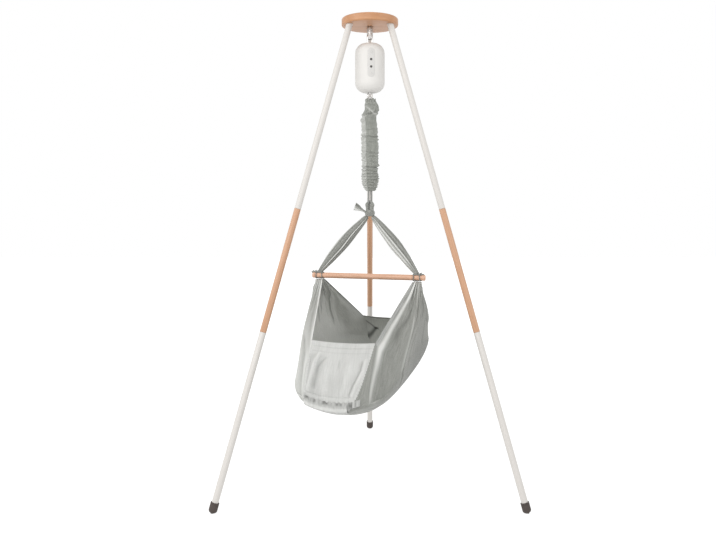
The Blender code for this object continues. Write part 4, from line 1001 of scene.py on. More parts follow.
def casing():
    front = half_case(pi)
    for rim, depth in ((RECESS, STRIP_FRONT + RECESS_DEEP), (GAP, -0.045)):
        cut(front, pill(STRIP_HALF + rim, STRIP_LOW - rim, STRIP_HIGH + rim, -0.075, depth))
    hand_over(front, "casing_front", "case", "motor", ["front_shell"], GEAR, 30)
    back = half_case(0.0)
    hole = rod(0.0065, 0.040, 0.075, 40, along="Y")
    place(hole, Matrix.Translation((0, 0, SOCKET_Z)) @ Matrix.Rotation(pi, 4, "Z"))
    cut(back, hole)
    hand_over(back, "casing_back", "case", "motor", ["back_shell"], GEAR, 30)
    along_y = Matrix.Translation((0, 0, SOCKET_Z)) @ Matrix.Rotation(-pi / 2, 4, "X")
    profile = [(0, 0.0500), (0.0062, 0.0500), (0.0062, 0.0617), (0.0057, 0.0622), (0.0040, 0.0622)]
    profile += [
        (0.0036, 0.0618), (0.0036, 0.0535), (0.0012, 0.0535), (0.0012, 0.0600), (0.0008, 0.0605), (0, 0.0605)
    ]
    hand_over(
        spun(profile, 40), "lead_socket", "dark", "motor", ["power_socket"], GEAR @ along_y
    )

    strip = pill(STRIP_HALF, STRIP_LOW, STRIP_HIGH, STRIP_FRONT, STRIP_BACK, 0.0006)
    for height in BUTTON_HEIGHTS:
        cut(strip, button_bore(height, BUTTON_RADIUS + GAP))
    hand_over(strip, "button_strip", "strip", "motor", ["control_strip"], GEAR, 30)
    out = -STRIP_FRONT
    face = out + BUTTON_PROUD
    for number, height in enumerate(BUTTON_HEIGHTS, start=1):
        profile = [(0, 0.0525), (0.002, 0.0525), (0.002, 0.0575), (BUTTON_RADIUS, 0.0575)]
        profile += [(BUTTON_RADIUS, face - 0.0009)]
        profile += arc((BUTTON_RADIUS - 0.0009, face - 0.0009), 0.0009, 0, 90, 4)
        profile += [(0.0024, face - 0.0002), (0, face - 0.0003)]
        along = GEAR @ Matrix.Translation((0, 0, height)) @ Matrix.Rotation(pi / 2, 4, "X")
        look, slot = ("dark", "dark_plastic") if number in (2, 3) else ("strip", "case_white")
        node = f"button_{number}"
        hand_over(spun(profile, 40), f"push_{node}", look, node, [node], along)
        ring = [(0.0057, out), (0.0059, out + 0.0005), (0.0068, out + 0.0005), (0.0071, out)]
        ring += [(0.0071, out - 0.0002), (0.0057, out - 0.0002), (0.0057, out)]
        hand_over(spun(ring, 40), f"button_ring_{number}", "case", "motor", (), along)


def lift_strap():
    """The woven strap that lifts the hook, from the reel down to the stem."""
    band = block((-STRAP_HALF, -0.005, 1.6563), (STRAP_HALF, 0.005, 1.748))
    edit(band)
    pick(band, lambda middle, run: abs(run.z) > 0.01)
    bpy.ops.mesh.bevel(offset=0.0003, segments=2, affect="EDGES")
    bpy.ops.mesh.select_all(action="SELECT")
    bpy.ops.mesh.subdivide(number_cuts=3)
    leave()
    layer = band.data.uv_layers.active
    layer.name = "cut"
    for loop, corner in zip(band.data.loops, layer.data):
        point = band.data.vertices[loop.vertex_index].co
        corner.uv = (point.y, point.z)
    hand_over(band, "lifting_strap", "webbing", "hook", ["drive_strap"], GEAR)


def hook():
    profile = [(0, 1.6560), (0.0052, 1.6560), (0.0060, 1.6552), (0.0060, 1.6500), (0.0050, 1.6480)]
    profile += [(0.0050, 1.6225)] + arc((0.0015, 1.6225), 0.0035, 0, -90, 6) + [(0, 1.6190)]
    stem = spun(profile, 40)
    turns = np.linspace(radians(62), radians(318), 40)
    ring = [(HOOK_RING * cos(a), 0, HOOK_Z + HOOK_RING * sin(a)) for a in turns]
    cut(stem, tube(ring, HOOK_ROD, 20), "UNION")
    hand_over(stem, "lifting_hook", "bright", "hook", ["drive_hook"], GEAR, 50)
    ends = [Vector((HOOK_RING * cos(a), 0, HOOK_Z + HOOK_RING * sin(a))) for a in (radians(34), radians(-18))]
    line = [ends[0].lerp(ends[1], s) for s in np.linspace(0, 1, 8)]
    hand_over(tube(line, HOOK_ROD * 0.72, 16), "gate", "bright", "gate", ["hook_gate"], GEAR, 50)


def flat_direction(azimuth):
    return Vector((cos(azimuth), sin(azimuth), 0))


def spring_end(centre, azimuth, way):
    out = flat_direction(azimuth) * SPRING_LOOP
    turns = [radians(-35) + radians(245) * i / 16 for i in range(17)]
    return [out * cos(a) + Vector((0, 0, centre + SPRING_LOOP * sin(a) * way)) for a in turns]


def spring():
    """One unbroken wire: top hook, out to the coil, the turns and in to the bottom hook."""
    per_turn = 32
    lead = 14
    top_centre = HOOK_Z - HOOK_RING + HOOK_ROD + 2 * WIRE_RADIUS + 0.0004 - SPRING_LOOP - WIRE_RADIUS
    bottom_centre = CORD_TOP - CORD_RADIUS - WIRE_RADIUS - 0.0004 + SPRING_LOOP
    path = spring_end(top_centre, radians(90), 1)
    start = radians(200)
    total = SPRING_TURNS * per_turn
    top_join = path[-1].z
    for i in range(1, lead + 1):
        share = i / (lead + 1)
        radius = SPRING_RADIUS * smooth_step((share - 0.42) / 0.52)
        angle = start - radians(150) * (1 - share)
        path.append(
            flat_direction(angle) * radius + Vector((0, 0, top_join + (SPRING_TOP - top_join) * share))
        )
    for i in range(total + 1):
        height = SPRING_TOP + (SPRING_BOTTOM - SPRING_TOP) * i / total
        path.append(flat_direction(start + 2 * pi * i / per_turn) * SPRING_RADIUS + Vector((0, 0, height)))
    last = spring_end(bottom_centre, CORD_TURN - GEAR_TURN + pi / 2, -1)[::-1]
    end_angle = start + 2 * pi * SPRING_TURNS
    for i in range(1, lead + 1):
        share = i / (lead + 1)
        radius = SPRING_RADIUS * (1 - smooth_step(share))
        height = SPRING_BOTTOM + (last[0].z - SPRING_BOTTOM) * share
        path.append(flat_direction(end_angle + radians(150) * share) * radius + Vector((0, 0, height)))
    piece = hand_over(
        tube(path + last, WIRE_RADIUS, 12), "coil_spring", "bright", None, (), GEAR, 60
    )
    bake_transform(piece)
    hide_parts("spring")


# The sleeve's outline as seen from the front: (height, left edge, right edge), from the photograph's frame
SLEEVE_OUTLINE = (
    (1.600, -0.0145, 0.0250),
    (1.590, -0.0190, 0.0245),
    (1.575, -0.0205, 0.0330),
    (1.560, -0.0215, 0.0365),
    (1.545, -0.0250, 0.0350),
    (1.530, -0.0330, 0.0265),
    (1.515, -0.0365, 0.0270),
    (1.490, -0.0350, 0.0300),
    (1.460, -0.0330, 0.0325),
    (1.430, -0.0345, 0.0335),
    (1.400, -0.0335, 0.0350),
    (1.370, -0.0345, 0.0330),
    (1.340, -0.0325, 0.0345),
    (1.320, -0.0335, 0.0365),
    (1.305, -0.0320, 0.0305),
    (1.285, -0.0330, 0.0330),
    (1.262, -0.0320, 0.0365),
    (1.240, -0.0300, 0.0320),
    (1.225, -0.0230, 0.0270),
    (1.214, -0.0140, 0.0190),
)
# Creases round the sleeve: (height, depth, half height, slant in metres from left to right)
SLEEVE_CREASES = (
    (1.5720, 0.0030, 0.0060, -0.014),
    (1.5330, 0.0065, 0.0055, 0.012),
    (1.4900, 0.0030, 0.0070, -0.008),
    (1.4640, 0.0035, 0.0050, 0.004),
    (1.4390, 0.0070, 0.0035, -0.002),
    (1.4130, 0.0030, 0.0045, 0.006),
    (1.3720, 0.0045, 0.0040, -0.006),
    (1.3540, 0.0040, 0.0035, 0.004),
    (1.3340, 0.0030, 0.0030, -0.003),
    (1.3120, 0.0090, 0.0038, 0.001),
    (1.2960, 0.0050, 0.0028, -0.003),
    (1.2840, 0.0060, 0.0026, 0.003),
    (1.2720, 0.0050, 0.0026, -0.002),
    (1.2600, 0.0060, 0.0026, 0.002),
    (1.2480, 0.0050, 0.0026, -0.003),
    (1.2370, 0.0050, 0.0026, 0.002),
    (1.2260, 0.0040, 0.0026, -0.001),
)


def sleeve():
    """The crumpled cloth sleeve over the spring, gathered at both ends."""
    sides = 144
    cells = []
    for s in shares(300):
        z = SLEEVE_TOP + (SLEEVE_BOTTOM - SLEEVE_TOP) * s
        left = read_off(z, SLEEVE_OUTLINE, 1)
        right = read_off(z, SLEEVE_OUTLINE, 2)
        middle = (left + right) / 2
        half = (right - left) / 2
        deep = 0.5 * half + 0.5 * SLEEVE_RADIUS * 0.93
        deep *= 0.55 + 0.45 * min(smooth_step(s / 0.06), smooth_step((1 - s) / 0.05))
        row = []
        for k in range(sides):
            a = 2 * pi * k / sides
            x, y = cos(a), sin(a)
            height = 0.0
            for at, depth, wide, slant in SLEEVE_CREASES:
                off = (z - at - slant * x - 0.004 * noise.noise((2.2 * x, 2.2 * y, at * 40))) / wide
                height -= depth * (
                    0.55 + 0.45 * noise.noise((1.7 * x + 5, 1.7 * y, at * 30))
                ) * exp(-off * off)
                height += 0.45 * depth * exp(-((abs(off) - 1.7) ** 2))
            height += noise.noise((2.4 * x, 2.4 * y, z * 26)) * 0.0032 + noise.noise(
                (5 * x + 3, 5 * y, z * 70)
            ) * 0.0014
            height += 0.0016 * sin(9 * a + 3 * sin(a)) * (1 - smooth_step(s / 0.10))
            height += 0.0016 * sin(11 * a + 2 * cos(a)) * (1 - smooth_step((1 - s) / 0.08))
            rise = 0.0030 * sin(5 * a + 1.0) * (1 - smooth_step(s / 0.05))
            # Painted light: the left side, towards the key lamp, and the crest of a fold near the top are
            # paler
            lit = smooth_step((-x - 0.40) / 0.12) * smooth_step((1.535 - z) / 0.01)
            lit *= 0.75 + 0.25 * noise.noise((0, 0, z * 60))
            fold = bump(
                z - 1.545 + 0.9 * (middle + half * x - 0.008), 0.0, 0.0055
            ) * smooth_step((-y - 0.1) / 0.3)
            tone = min(max(0.55 * lit, 0.45 * fold * smooth_step((1.575 - z) / 0.02)), 1.0)
            row.append(
                (middle + (half + height) * x, (deep + height) * y, z + rise, 0.22 * k / sides, z, tone)
            )
        cells.append(row)
    piece = fabric(cells, wrap=True)
    thicken(piece, 0.0012, 1.0)
    dress(piece, "cloth_sleeve", ["sleeve"], None, matrix=HANG)
    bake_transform(piece)
    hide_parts("spring_sleeve")


def cord():
    """The closed loop of braided cord between the spring and the cradle's cloth loop."""
    out = flat_direction(CORD_TURN)
    top = (CORD_TOP_BEND, CORD_TOP - CORD_TOP_BEND)
    bottom = (CORD_BOTTOM_BEND, CORD_BOTTOM + CORD_BOTTOM_BEND)
    steps = 20
    flat = []
    for way, start, end, first, count in ((-1, top, bottom, 0, 25), (1, bottom, top, pi, 31)):
        flat += [
            (start[0] * cos(a), start[1] + start[0] * sin(a)) for a in np.linspace(first, first + pi, count)
        ]
        for i in range(1, steps):
            share = i / steps
            across = start[0] + (end[0] - start[0]) * smooth_step(share)
            flat.append((way * across, start[1] + (end[1] - start[1]) * share))
    points = [out * x + Vector((0, 0, z)) for x, z in flat]
    loop = tube(points, CORD_RADIUS, 20, True)
    hand_over(loop, "hanging_cord", "cord", "cord", ["cord_loop"], HANG, 60)


# Cradle: knot, straps and bar


def bundle(path, radii, sides, shape, girth=0.12, tone=lambda s, a: 0.0, start=Vector((0, 1, 0))):
    """A gathered bundle of cloth: rings square to a path, shaped by shape(share, angle), with its UV map, and
    its painted light and shade from tone(share, angle).
    """
    last = len(path) - 1
    side = start
    run = 0.0
    cells = []
    for i, point in enumerate(path):
        forward = (path[min(i + 1, last)] - path[max(i - 1, 0)]).normalized()
        side = (side - forward * side.dot(forward)).normalized()
        other = forward.cross(side)
        run += (point - path[i - 1]).length if i else 0.0
        s = i / last
        wide, deep = radii(s)
        row = []
        for k in range(sides):
            a = 2 * pi * k / sides
            place_at = point + shape(s, a) * (other * wide * cos(a) + side * deep * sin(a))
            row.append((*place_at, girth * k / sides, run, tone(s, a)))
        cells.append(row)
    return close_ends(fabric(cells, wrap=True))


def curve_through(knots, count):
    """A smooth line through a few points."""
    knots = [Vector(k) for k in knots]
    ends = [knots[0] * 2 - knots[1], *knots, knots[-1] * 2 - knots[-2]]
    line = []
    for i in range(count):
        at = i / (count - 1) * (len(knots) - 1)
        j = min(int(at), len(knots) - 2)
        t = at - j
        a, b, c, d = ends[j : j + 4]
        square, cube = 2 * a - 5 * b + 4 * c - d, 3 * b - a - 3 * c + d
        line.append(0.5 * ((2 * b) + (c - a) * t + square * t * t + cube * t**3))
    return line


def cloth_loop():
    """The cloth loop above the knot: thin where it hangs in the cord, full and folded at its sides."""
    out = flat_direction(CORD_TURN + pi / 2)
    bend = 0.0140
    top = CORD_BOTTOM + CORD_RADIUS + 0.0050 + 0.0007
    centre = top - bend
    foot = KNOT_Z + KNOT_HALF + 0.0012
    flat = [(-0.0105, foot - 0.004), (-0.0118, (foot + centre) / 2 + 0.002)]
    flat += [(bend * cos(a), centre + bend * sin(a)) for a in np.linspace(pi, 0, 9)]
    flat += [(0.0118, (foot + centre) / 2 + 0.002), (0.0105, foot - 0.004)]
    path = curve_through([out * x + Vector((0, 0, z)) for x, z in flat], 90)

    def radii(s):
        z = path[round(s * 89)].z
        full = smooth_step((top - z) / 0.016)
        size = 0.0049 + 0.0043 * full - 0.0012 * smooth_step((centre - z) / 0.014)
        return size, size

    def folds(s, a):
        crumple = noise.noise((4 * cos(a), 4 * sin(a), 9 * s))
        return 1 + 0.10 * sin(4 * a + 5 * s) + 0.05 * sin(9 * a - 7 * s) + 0.05 * crumple

    piece = bundle(path, radii, 64, folds, girth=0.06, start=flat_direction(CORD_TURN))
    dress(piece, "cradle_loop", ["cloth"], "cradle", ["fabric_loop"], matrix=HANG)


def knot():
    """The bound knot with its wraps."""
    rows, sides = 72, 96
    cells = []
    for i in range(rows):
        angle = -pi / 2 + pi * i / (rows - 1)
        height = KNOT_HALF * sin(angle) * 1.12
        radius = max(KNOT_RADIUS * max(cos(angle), 0.0) ** 0.55, 0.0088)
        row = []
        for k in range(sides):
            a = 2 * pi * k / sides
            wraps = 0.0016 * abs(sin(2.5 * pi * (height / KNOT_HALF + 0.25 * sin(a + 0.8)))) ** 0.6
            crumple = 0.0016 * noise.noise(
                (3 * cos(a), 3 * sin(a), 160 * height)
            ) + 0.0007 * sin(13 * a + 90 * height)
            r = radius * (1 + 0.07 * sin(2 * a)) + (wraps + crumple) * smooth_step(cos(angle) / 0.5)
            row.append((r * cos(a), r * sin(a), KNOT_Z + height, 0.12 * k / sides, height, 0.0))
        cells.append(row)
    piece = close_ends(fabric(cells, wrap=True))
    dress(piece, "bound_knot", ["cloth"], "cradle", ["tie_knot"], matrix=HANG)


# The knot's flared tail: the line that it follows, and the way that its width lies
TAIL_LINE = (
    (-0.010, -0.008, 1.1235),
    (-0.026, -0.014, 1.1305),
    (-0.041, -0.017, 1.1385),
    (-0.053, -0.019, 1.1455),
    (-0.063, -0.019, 1.1495),
)
TAIL_ACROSS = Vector((0.45, -0.2, 0.9))


def knot_tail():
    """The flared tail to the upper left, with painted light on its upper half."""
    rows = 40
    spine = curve_through(TAIL_LINE, rows)
    cells = []
    for i, s in enumerate(shares(rows)):
        half = 0.0040 + 0.0125 * smooth_step((s - 0.15) / 0.85)
        ahead = (spine[min(i + 1, rows - 1)] - spine[max(i - 1, 0)]).normalized()
        across = (TAIL_ACROSS - ahead * TAIL_ACROSS.dot(ahead)).normalized()
        out = across.cross(ahead)
        row = []
        for share in shares(48):
            u = -1 + 2 * share
            wave = 0.0028 * sin(2.6 * pi * u + 0.6) * (0.35 + 0.65 * s) + 0.0012 * sin(6 * u + 9 * s)
            tone = 0.75 * smooth_step((0.25 - u) / 0.4) * smooth_step(s / 0.4)
            row.append((*(spine[i] + across * half * u + out * wave), 0.036 * share, 0.06 * s, tone))
        cells.append(row)
    tail = fabric(cells)
    thicken(tail, 0.0022)
    dress(tail, "knot_tail", ["cloth"], "cradle", matrix=HANG)


# Lengthwise folds of the straps, seen from the front: (place across from the outer edge -1 to 1, depth,
# width, tone: painted highlight above 0 and painted shade below)
STRAP_FOLDS = {
    "left": (
        (-0.93, 0.05, 0.10, 0.80),
        (-0.62, -0.10, 0.10, -0.35),
        (-0.10, -0.06, 0.12, -0.15),
        (0.16, -0.22, 0.08, -0.75),
        (0.36, 0.14, 0.10, 1.00),
        (0.60, -0.20, 0.09, -0.60),
        (0.92, -0.08, 0.10, -0.35),
    ),
    "right": (
        (-0.92, -0.05, 0.12, -0.45),
        (-0.55, 0.06, 0.10, 0.10),
        (-0.32, -0.22, 0.09, -0.60),
        (-0.05, 0.14, 0.16, 0.90),
        (0.30, -0.10, 0.07, -0.05),
        (0.50, 0.10, 0.18, 1.00),
        (0.90, 0.05, 0.12, 0.90),
    ),
}


def strap(side):
    """One gathered strap from the knot down to the bar, widest halfway, with long folds."""
    way = -1 if side == "left" else 1
    top = Vector((way * 0.0120, 0, KNOT_Z - KNOT_HALF - 0.0015))
    bottom = Vector((GATHER[side], 0, BAR_Z + WRAP_RADIUS - 0.0010))
    bow = Vector((way * 0.80, 0, 0.60)) * STRAP_BOW
    path = [top.lerp(bottom, s) + bow * sin(pi * s) for s in shares(130)]

    def radii(s):
        full = max(sin(pi * s), 0.0) ** 0.75
        return 0.0075 + 0.0165 * full, 0.0065 + 0.0045 * full

    def fold(s, a, column):
        """The folds' depths (column 1) or their painted light and shade (column 3) at an angle of the ring.
        """
        front = 0.35 + 0.65 * smooth_step(0.5 - 3 * sin(a))
        fade = 0.35 + 0.65 * smooth_step(min(s, 1 - s) / 0.18)
        across = 0.16 * noise.noise((0.6, 3.5 * s, 4 if way < 0 else 9)) - way * cos(a)
        return sum(
            entry[column] * bump(across, entry[0], entry[2]) for entry in STRAP_FOLDS[side]
        ) * fade * front

    def shape(s, a):
        tight = 0.10 * sin(14 * a) * (1 - smooth_step(min(s, 1 - s) / 0.12))
        return 1 + fold(s, a, 1) + tight + 0.05 * noise.noise((2 * cos(a), 2 * sin(a), 5 * s))

    def tone(s, a):
        """The painted highlights of the right strap's folds end above the bar."""
        value = fold(s, a, 3)
        return value if way < 0 or value < 0 else value * (1 - 0.6 * smooth_step((s - 0.72) / 0.2))

    piece = bundle(path, radii, 144, shape, girth=0.16, tone=tone)
    dress(piece, f"gathered_strap_{side}", ["cloth"], "cradle", [f"strap_{side}"])


def bar():
    along_x = Matrix.Translation((0, 0, BAR_Z)) @ Matrix.Rotation(pi / 2, 4, "Y")
    low, high = BAR_ENDS
    edge = 0.0035
    profile = [(0, low), (BAR_RADIUS - edge, low)] + arc((BAR_RADIUS - edge, low + edge), edge, -90, 0, 4)
    for side in ("left", "right"):
        start = GATHER[side] - GROOVE_HALF
        end = GATHER[side] + GROOVE_HALF
        profile += [(BAR_RADIUS, start), (GROOVE_RADIUS, start + 0.0015)]
        profile += [(GROOVE_RADIUS, end - 0.0015), (BAR_RADIUS, end)]
    profile += arc((BAR_RADIUS - edge, high - edge), edge, 0, 90, 4) + [(0, high)]
    hand_over(spun(profile), "wooden_bar", "bar_wood", "cradle", ["spreader_bar"], CRADLE @ along_x)


def wrap(side):
    """The gathered cloth round the bar's back, and the two strands that bind it."""
    columns = 60
    half = GROOVE_HALF - 0.0022
    cells = []
    for share in shares(70):
        u = -1 + 2 * share
        row = []
        for k in range(columns):
            a = radians(-112 + 232 * k / (columns - 1))
            pleat = sin(2 * pi * 3.6 * u + 1.5 * a)
            r = GROOVE_RADIUS + 0.0024 + 0.0013 * pleat + 0.0008 * noise.noise((6 * u, 3 * a, 2))
            point = (GATHER[side] + u * half, r * cos(a), BAR_Z + r * sin(a))
            # Painted highlight on the pleats' crests and painted shade in their hollows
            row.append((*point, 0.05 * k / columns, u * half, 0.35 * pleat))
        cells.append(row)
    cover = fabric(cells)
    thicken(cover, 0.0016)
    pieces = [cover]
    r = BAR_RADIUS + 0.0010
    for at, lean_in in ((-0.0135, 0.10), (0.0125, -0.16)):
        turns = np.linspace(0, 2 * pi, 48, endpoint=False)
        ring = [(GATHER[side] + at + lean_in * r * sin(a), r * cos(a), BAR_Z + r * sin(a)) for a in turns]
        strand = tube(ring, 0.0019, 16, True)
        # The binding strands take the painted shade colour
        tone = strand.data.attributes.new("tone", "FLOAT", "POINT")
        tone.data.foreach_set("value", [-0.55] * len(strand.data.vertices))
        pieces.append(strand)
    choose(cover)
    for piece in pieces:
        piece.select_set(True)
    bpy.ops.object.join()
    dress(cover, f"wound_cloth_{side}", ["cloth"], "cradle", [f"bar_wrap_{side}"])


def bar_frill(side):
    """The frill of the gathered cloth's end, on top of the bar."""
    way = -1 if side == "left" else 1
    full = 0.0135 if way < 0 else 0.0105
    cells = []
    for s in shares(26):
        row = []
        for u in shares(100):
            turn = 2 * pi * 3.4 * u
            pleat = sin(turn + 0.9)
            x = GATHER[side] + way * (-0.006 + 0.040 * u) + 0.0030 * s * sin(turn + 2.4)
            droop = 0.020 * smooth_step((u - 0.72) / 0.28) if way > 0 else 0.004 * u
            tall = full * (0.75 + 0.25 * sin(turn + 2.0))
            z = BAR_Z + BAR_RADIUS + 0.0002 + tall * s - droop
            # Painted light on the pleats' crests and painted shade in their hollows, growing towards the
            # frill's top
            row.append((x, -0.003 + 0.0040 * pleat * s, z, 0.060 * u, 0.012 * s, (0.45 * pleat - 0.15) * s))
        cells.append(row)
    frill = fabric(cells)
    thicken(frill, 0.0010)
    dress(frill, f"frill_{side}", ["cloth"], "cradle")


# Cradle: the cloth hull

HULL_CENTRE = Vector((HULL_MIDDLE, 0, 0.58))


def end_of(y):
    return ("front", HULL_FRONT) if y < 0 else ("back", HULL_BACK)


def share_of(y):
    return min(abs(y) / end_of(y)[1], 1.0)


def half_width(y):
    return HULL_HALF * (1 - share_of(y) ** PLAN_POWER) ** (1 / PLAN_POWER)


def shoulder_z(y):
    end = SHOULDER_FRONT if y < 0 else SHOULDER_BACK
    return SHOULDER_MID + (end - SHOULDER_MID) * share_of(y) ** 2


def keel_z(y):
    end = KEEL_FRONT if y < 0 else KEEL_BACK
    return KEEL_MID + (end - KEEL_MID) * share_of(y) ** KEEL_POWER


def seam_y(end):
    """Where an end panel's side seam meets the hull, along the cradle."""
    reach = HULL_FRONT if end == "front" else HULL_BACK
    way = -1 if end == "front" else 1
    return way * reach * (1 - (PANEL_HALF / HULL_HALF) ** PLAN_POWER) ** (1 / PLAN_POWER)


def hull_point(y, angle, way):
    """The hull below its shoulder: angle 0 at the shoulder, 90 degrees at the keel, way -1 left or 1
    right."""
    power = 2 / SECTION_POWER
    across = half_width(y) * max(cos(angle), 0.0) ** power
    drop = (shoulder_z(y) - keel_z(y)) * max(sin(angle), 0.0) ** power
    return Vector((HULL_MIDDLE + way * across, y, shoulder_z(y) - drop))


def bend_between(start, control, end, s):
    return start * (1 - s) ** 2 + control * 2 * s * (1 - s) + end * s * s


def panel_edge(end, way, s):
    """The side seam of an end panel, from its top corner down to the hull's shoulder."""
    side = -1 if end == "front" else 1
    y = seam_y(end)
    top = Vector((HULL_MIDDLE + way * PANEL_HALF, side * PANEL_TOP_Y, PANEL_TOP_Z[end]))
    bottom = hull_point(y, 0.0, way)
    control = Vector((top.x, y + side * PANEL_BULGE[end], bottom.z + PANEL_BEND))
    return bend_between(top, control, bottom, s)


def side_point(side, t, s):
    """A side sheet's middle surface: t from -1 at the foot to 1 at the head, s from the bar to the bottom
    seam."""
    way = -1 if side == "left" else 1
    end = "front" if t < 0 else "back"
    reach = abs(seam_y(end))
    y = (-1 if t < 0 else 1) * reach * sin(1.25 * abs(t)) / sin(1.25)
    spread = way * GATHER_SPREAD * (1 - 2 * t * t)
    gather = Vector((GATHER[side] + spread, GATHER_DEPTH * t, BAR_Z - WRAP_RADIUS - 0.0025))
    edge = smooth_step((abs(t) - 0.70) / 0.30)
    if s >= EDGE_SHARE:
        return hull_point(y, SEAM_ANGLE * (s - EDGE_SHARE) / (1 - EDGE_SHARE), way)
    shoulder = hull_point(y, 0.0, way)
    u = s / EDGE_SHARE
    inner = gather.lerp(shoulder, u)
    inner.x += way * 0.012 * sin(pi * u) ** 2 * (1 - edge)
    if s < TOP_SHARE:
        outer = gather.lerp(panel_edge(end, way, 0.0), s / TOP_SHARE)
    else:
        outer = panel_edge(end, way, (s - TOP_SHARE) / (EDGE_SHARE - TOP_SHARE))
    return inner.lerp(outer, edge)


def panel_point(end, across, s):
    """An end panel: across from -1 to 1, s from its top edge down to the hull's end."""
    side = -1 if end == "front" else 1
    x = HULL_MIDDLE + across * PANEL_HALF
    y = seam_y(end)
    top = Vector((x, side * PANEL_TOP_Y, PANEL_TOP_Z[end] - PANEL_SAG * (1 - across * across)))
    width = half_width(y)
    angle = pi / 2 - asin(min(abs(across) * PANEL_HALF / width, 1.0) ** (SECTION_POWER / 2))
    bottom = hull_point(y, angle, 1)
    bottom = Vector((x, bottom.y, bottom.z))
    bulge = side * (PANEL_BULGE[end] + PANEL_CROWN[end] * (1 - across * across))
    control = Vector((x, y + bulge, shoulder_z(y) + PANEL_BEND - 0.01 * (1 - across * across)))
    return bend_between(top, control, bottom, s)


# The foot panel's right seam leans in: (share down the panel, place across it)
SEAM_LEAN = ((0.0, 1.0), (0.25, 0.905), (0.5, 0.79), (0.7, 0.665), (0.85, 0.52), (1.0, 0.42))


def lean(s):
    return read_off(s, SEAM_LEAN)


# Long folds of the side sheets: (depth, width in t, tone: painted highlight above 0 and painted shade below,
# the line's points as (share down the sheet, t))
SIDE_FOLDS = {
    "right": (
        (0.0040, 0.024, 0.90, ((0.0, -0.80), (0.2, -0.86), (0.4, -0.89), (0.64, -0.895))),
        (0.0008, 0.026, 0.62, ((0.53, -0.895), (0.64, -0.90), (0.73, -0.93), (0.84, -0.95))),
        (-0.0010, 0.040, -0.16, ((0.40, -0.80), (0.60, -0.82), (0.80, -0.84), (0.96, -0.86))),
        (-0.0020, 0.030, -0.20, ((0.35, 0.24), (0.55, 0.20), (0.86, 0.12))),
        (-0.0025, 0.020, -0.30, ((0.30, -0.14), (0.50, -0.20), (0.80, -0.22))),
        (-0.0045, 0.028, -0.55, ((0.03, -0.62), (0.2, -0.69), (0.38, -0.81), (0.52, -0.82))),
        (-0.0030, 0.020, -0.30, ((0.03, -0.28), (0.15, -0.30), (0.3, -0.36), (0.44, -0.42))),
        (-0.0055, 0.022, -0.55, ((0.02, 0.0), (0.2, 0.03), (0.35, 0.02), (0.46, -0.06))),
        (
            -0.0050, 0.015, -0.55,
            ((0.28, -0.36), (0.43, -0.45), (0.52, -0.50), (0.62, -0.52), (0.8, -0.49), (0.95, -0.44))
        ),
        (0.0040, 0.035, 0.28, ((0.30, -0.56), (0.5, -0.58), (0.62, -0.575), (0.8, -0.54))),
        (0.0040, 0.050, 0.22, ((0.04, 0.15), (0.25, 0.16), (0.5, 0.10))),
        (0.0035, 0.060, 0.10, ((0.1, -0.16), (0.3, -0.26), (0.7, -0.30))),
        (-0.0030, 0.030, -0.15, ((0.45, -0.28), (0.62, -0.34), (0.86, -0.33))),
        (0.0050, 0.050, 0.10, ((0.05, 0.62), (0.35, 0.58), (0.6, 0.50))),
        (-0.0050, 0.035, -0.30, ((0.05, 0.45), (0.3, 0.42), (0.6, 0.35))),
    ),
    "left": (
        (0.0030, 0.022, 0.80, ((0.0, -0.97), (0.3, -0.975), (0.56, -0.975), (0.66, -0.96))),
        (-0.0040, 0.030, -0.22, ((0.05, -0.86), (0.3, -0.82), (0.5, -0.84), (0.62, -0.90), (0.78, -0.93))),
        (0.0005, 0.040, 0.26, ((0.30, -0.93), (0.5, -0.93), (0.65, -0.86), (0.85, -0.88))),
        (-0.0045, 0.030, -0.30, ((0.45, -0.74), (0.60, -0.80), (0.75, -0.84), (0.9, -0.90))),
        (0.0015, 0.050, 0.20, ((0.2, -0.66), (0.5, -0.66), (0.9, -0.74))),
        (-0.0015, 0.014, -0.60, ((0.80, -0.955), (0.84, -0.955), (0.98, -0.955))),
        (-0.0040, 0.022, -0.60, ((0.03, 0.10), (0.2, 0.11), (0.4, 0.10), (0.6, 0.05))),
        (-0.0035, 0.018, -0.60, ((0.03, 0.47), (0.2, 0.42), (0.35, 0.27), (0.5, 0.17))),
        (-0.0020, 0.016, -0.40, ((0.03, 0.28), (0.2, 0.28), (0.45, 0.22))),
        (0.0015, 0.020, 0.22, ((0.06, 0.36), (0.3, 0.30), (0.5, 0.22))),
        (0.0045, 0.035, 0.10, ((0.1, 0.60), (0.3, 0.50), (0.6, 0.34))),
        (-0.0065, 0.024, -0.70, ((0.10, 0.82), (0.2, 0.77), (0.42, 0.56), (0.66, 0.44))),
        (0.0050, 0.032, 0.12, ((0.15, 0.86), (0.45, 0.72), (0.7, 0.58))),
        (-0.0040, 0.050, -0.22, ((0.35, 0.86), (0.55, 0.80), (0.7, 0.72))),
        (-0.0050, 0.030, -0.30, ((0.05, -0.30), (0.4, -0.36), (0.7, -0.42))),
        (0.0050, 0.035, 0.15, ((0.05, -0.16), (0.4, -0.20), (0.7, -0.22))),
    ),
}


def side_fold(side, t, s, column):
    """The sum of a sheet's folds at a point: their heights (column 0) or their painted light and shade
    (column 2).
    """
    value = 0.0
    for entry in SIDE_FOLDS[side]:
        line = entry[3]
        start = 1.0 if line[0][0] < 0.01 else smooth_step((s - line[0][0]) / 0.07 + 0.3)
        fade = start * (1 - smooth_step((s - line[-1][0] + 0.12) / 0.14))
        if fade:
            value += entry[column] * fade * bump(t, read_off(s, line), entry[1] * (0.8 + 0.35 * s))
    return value


def gathers(t):
    """The uneven run of small folds under the bar."""
    return 0.7 * sin(
        2 * pi * 6.5 * (t + 1) + 1.6 * sin(5 * t)
    ) + 0.3 * sin(2 * pi * 10 * t + 2.2 * sin(7 * t + 1))


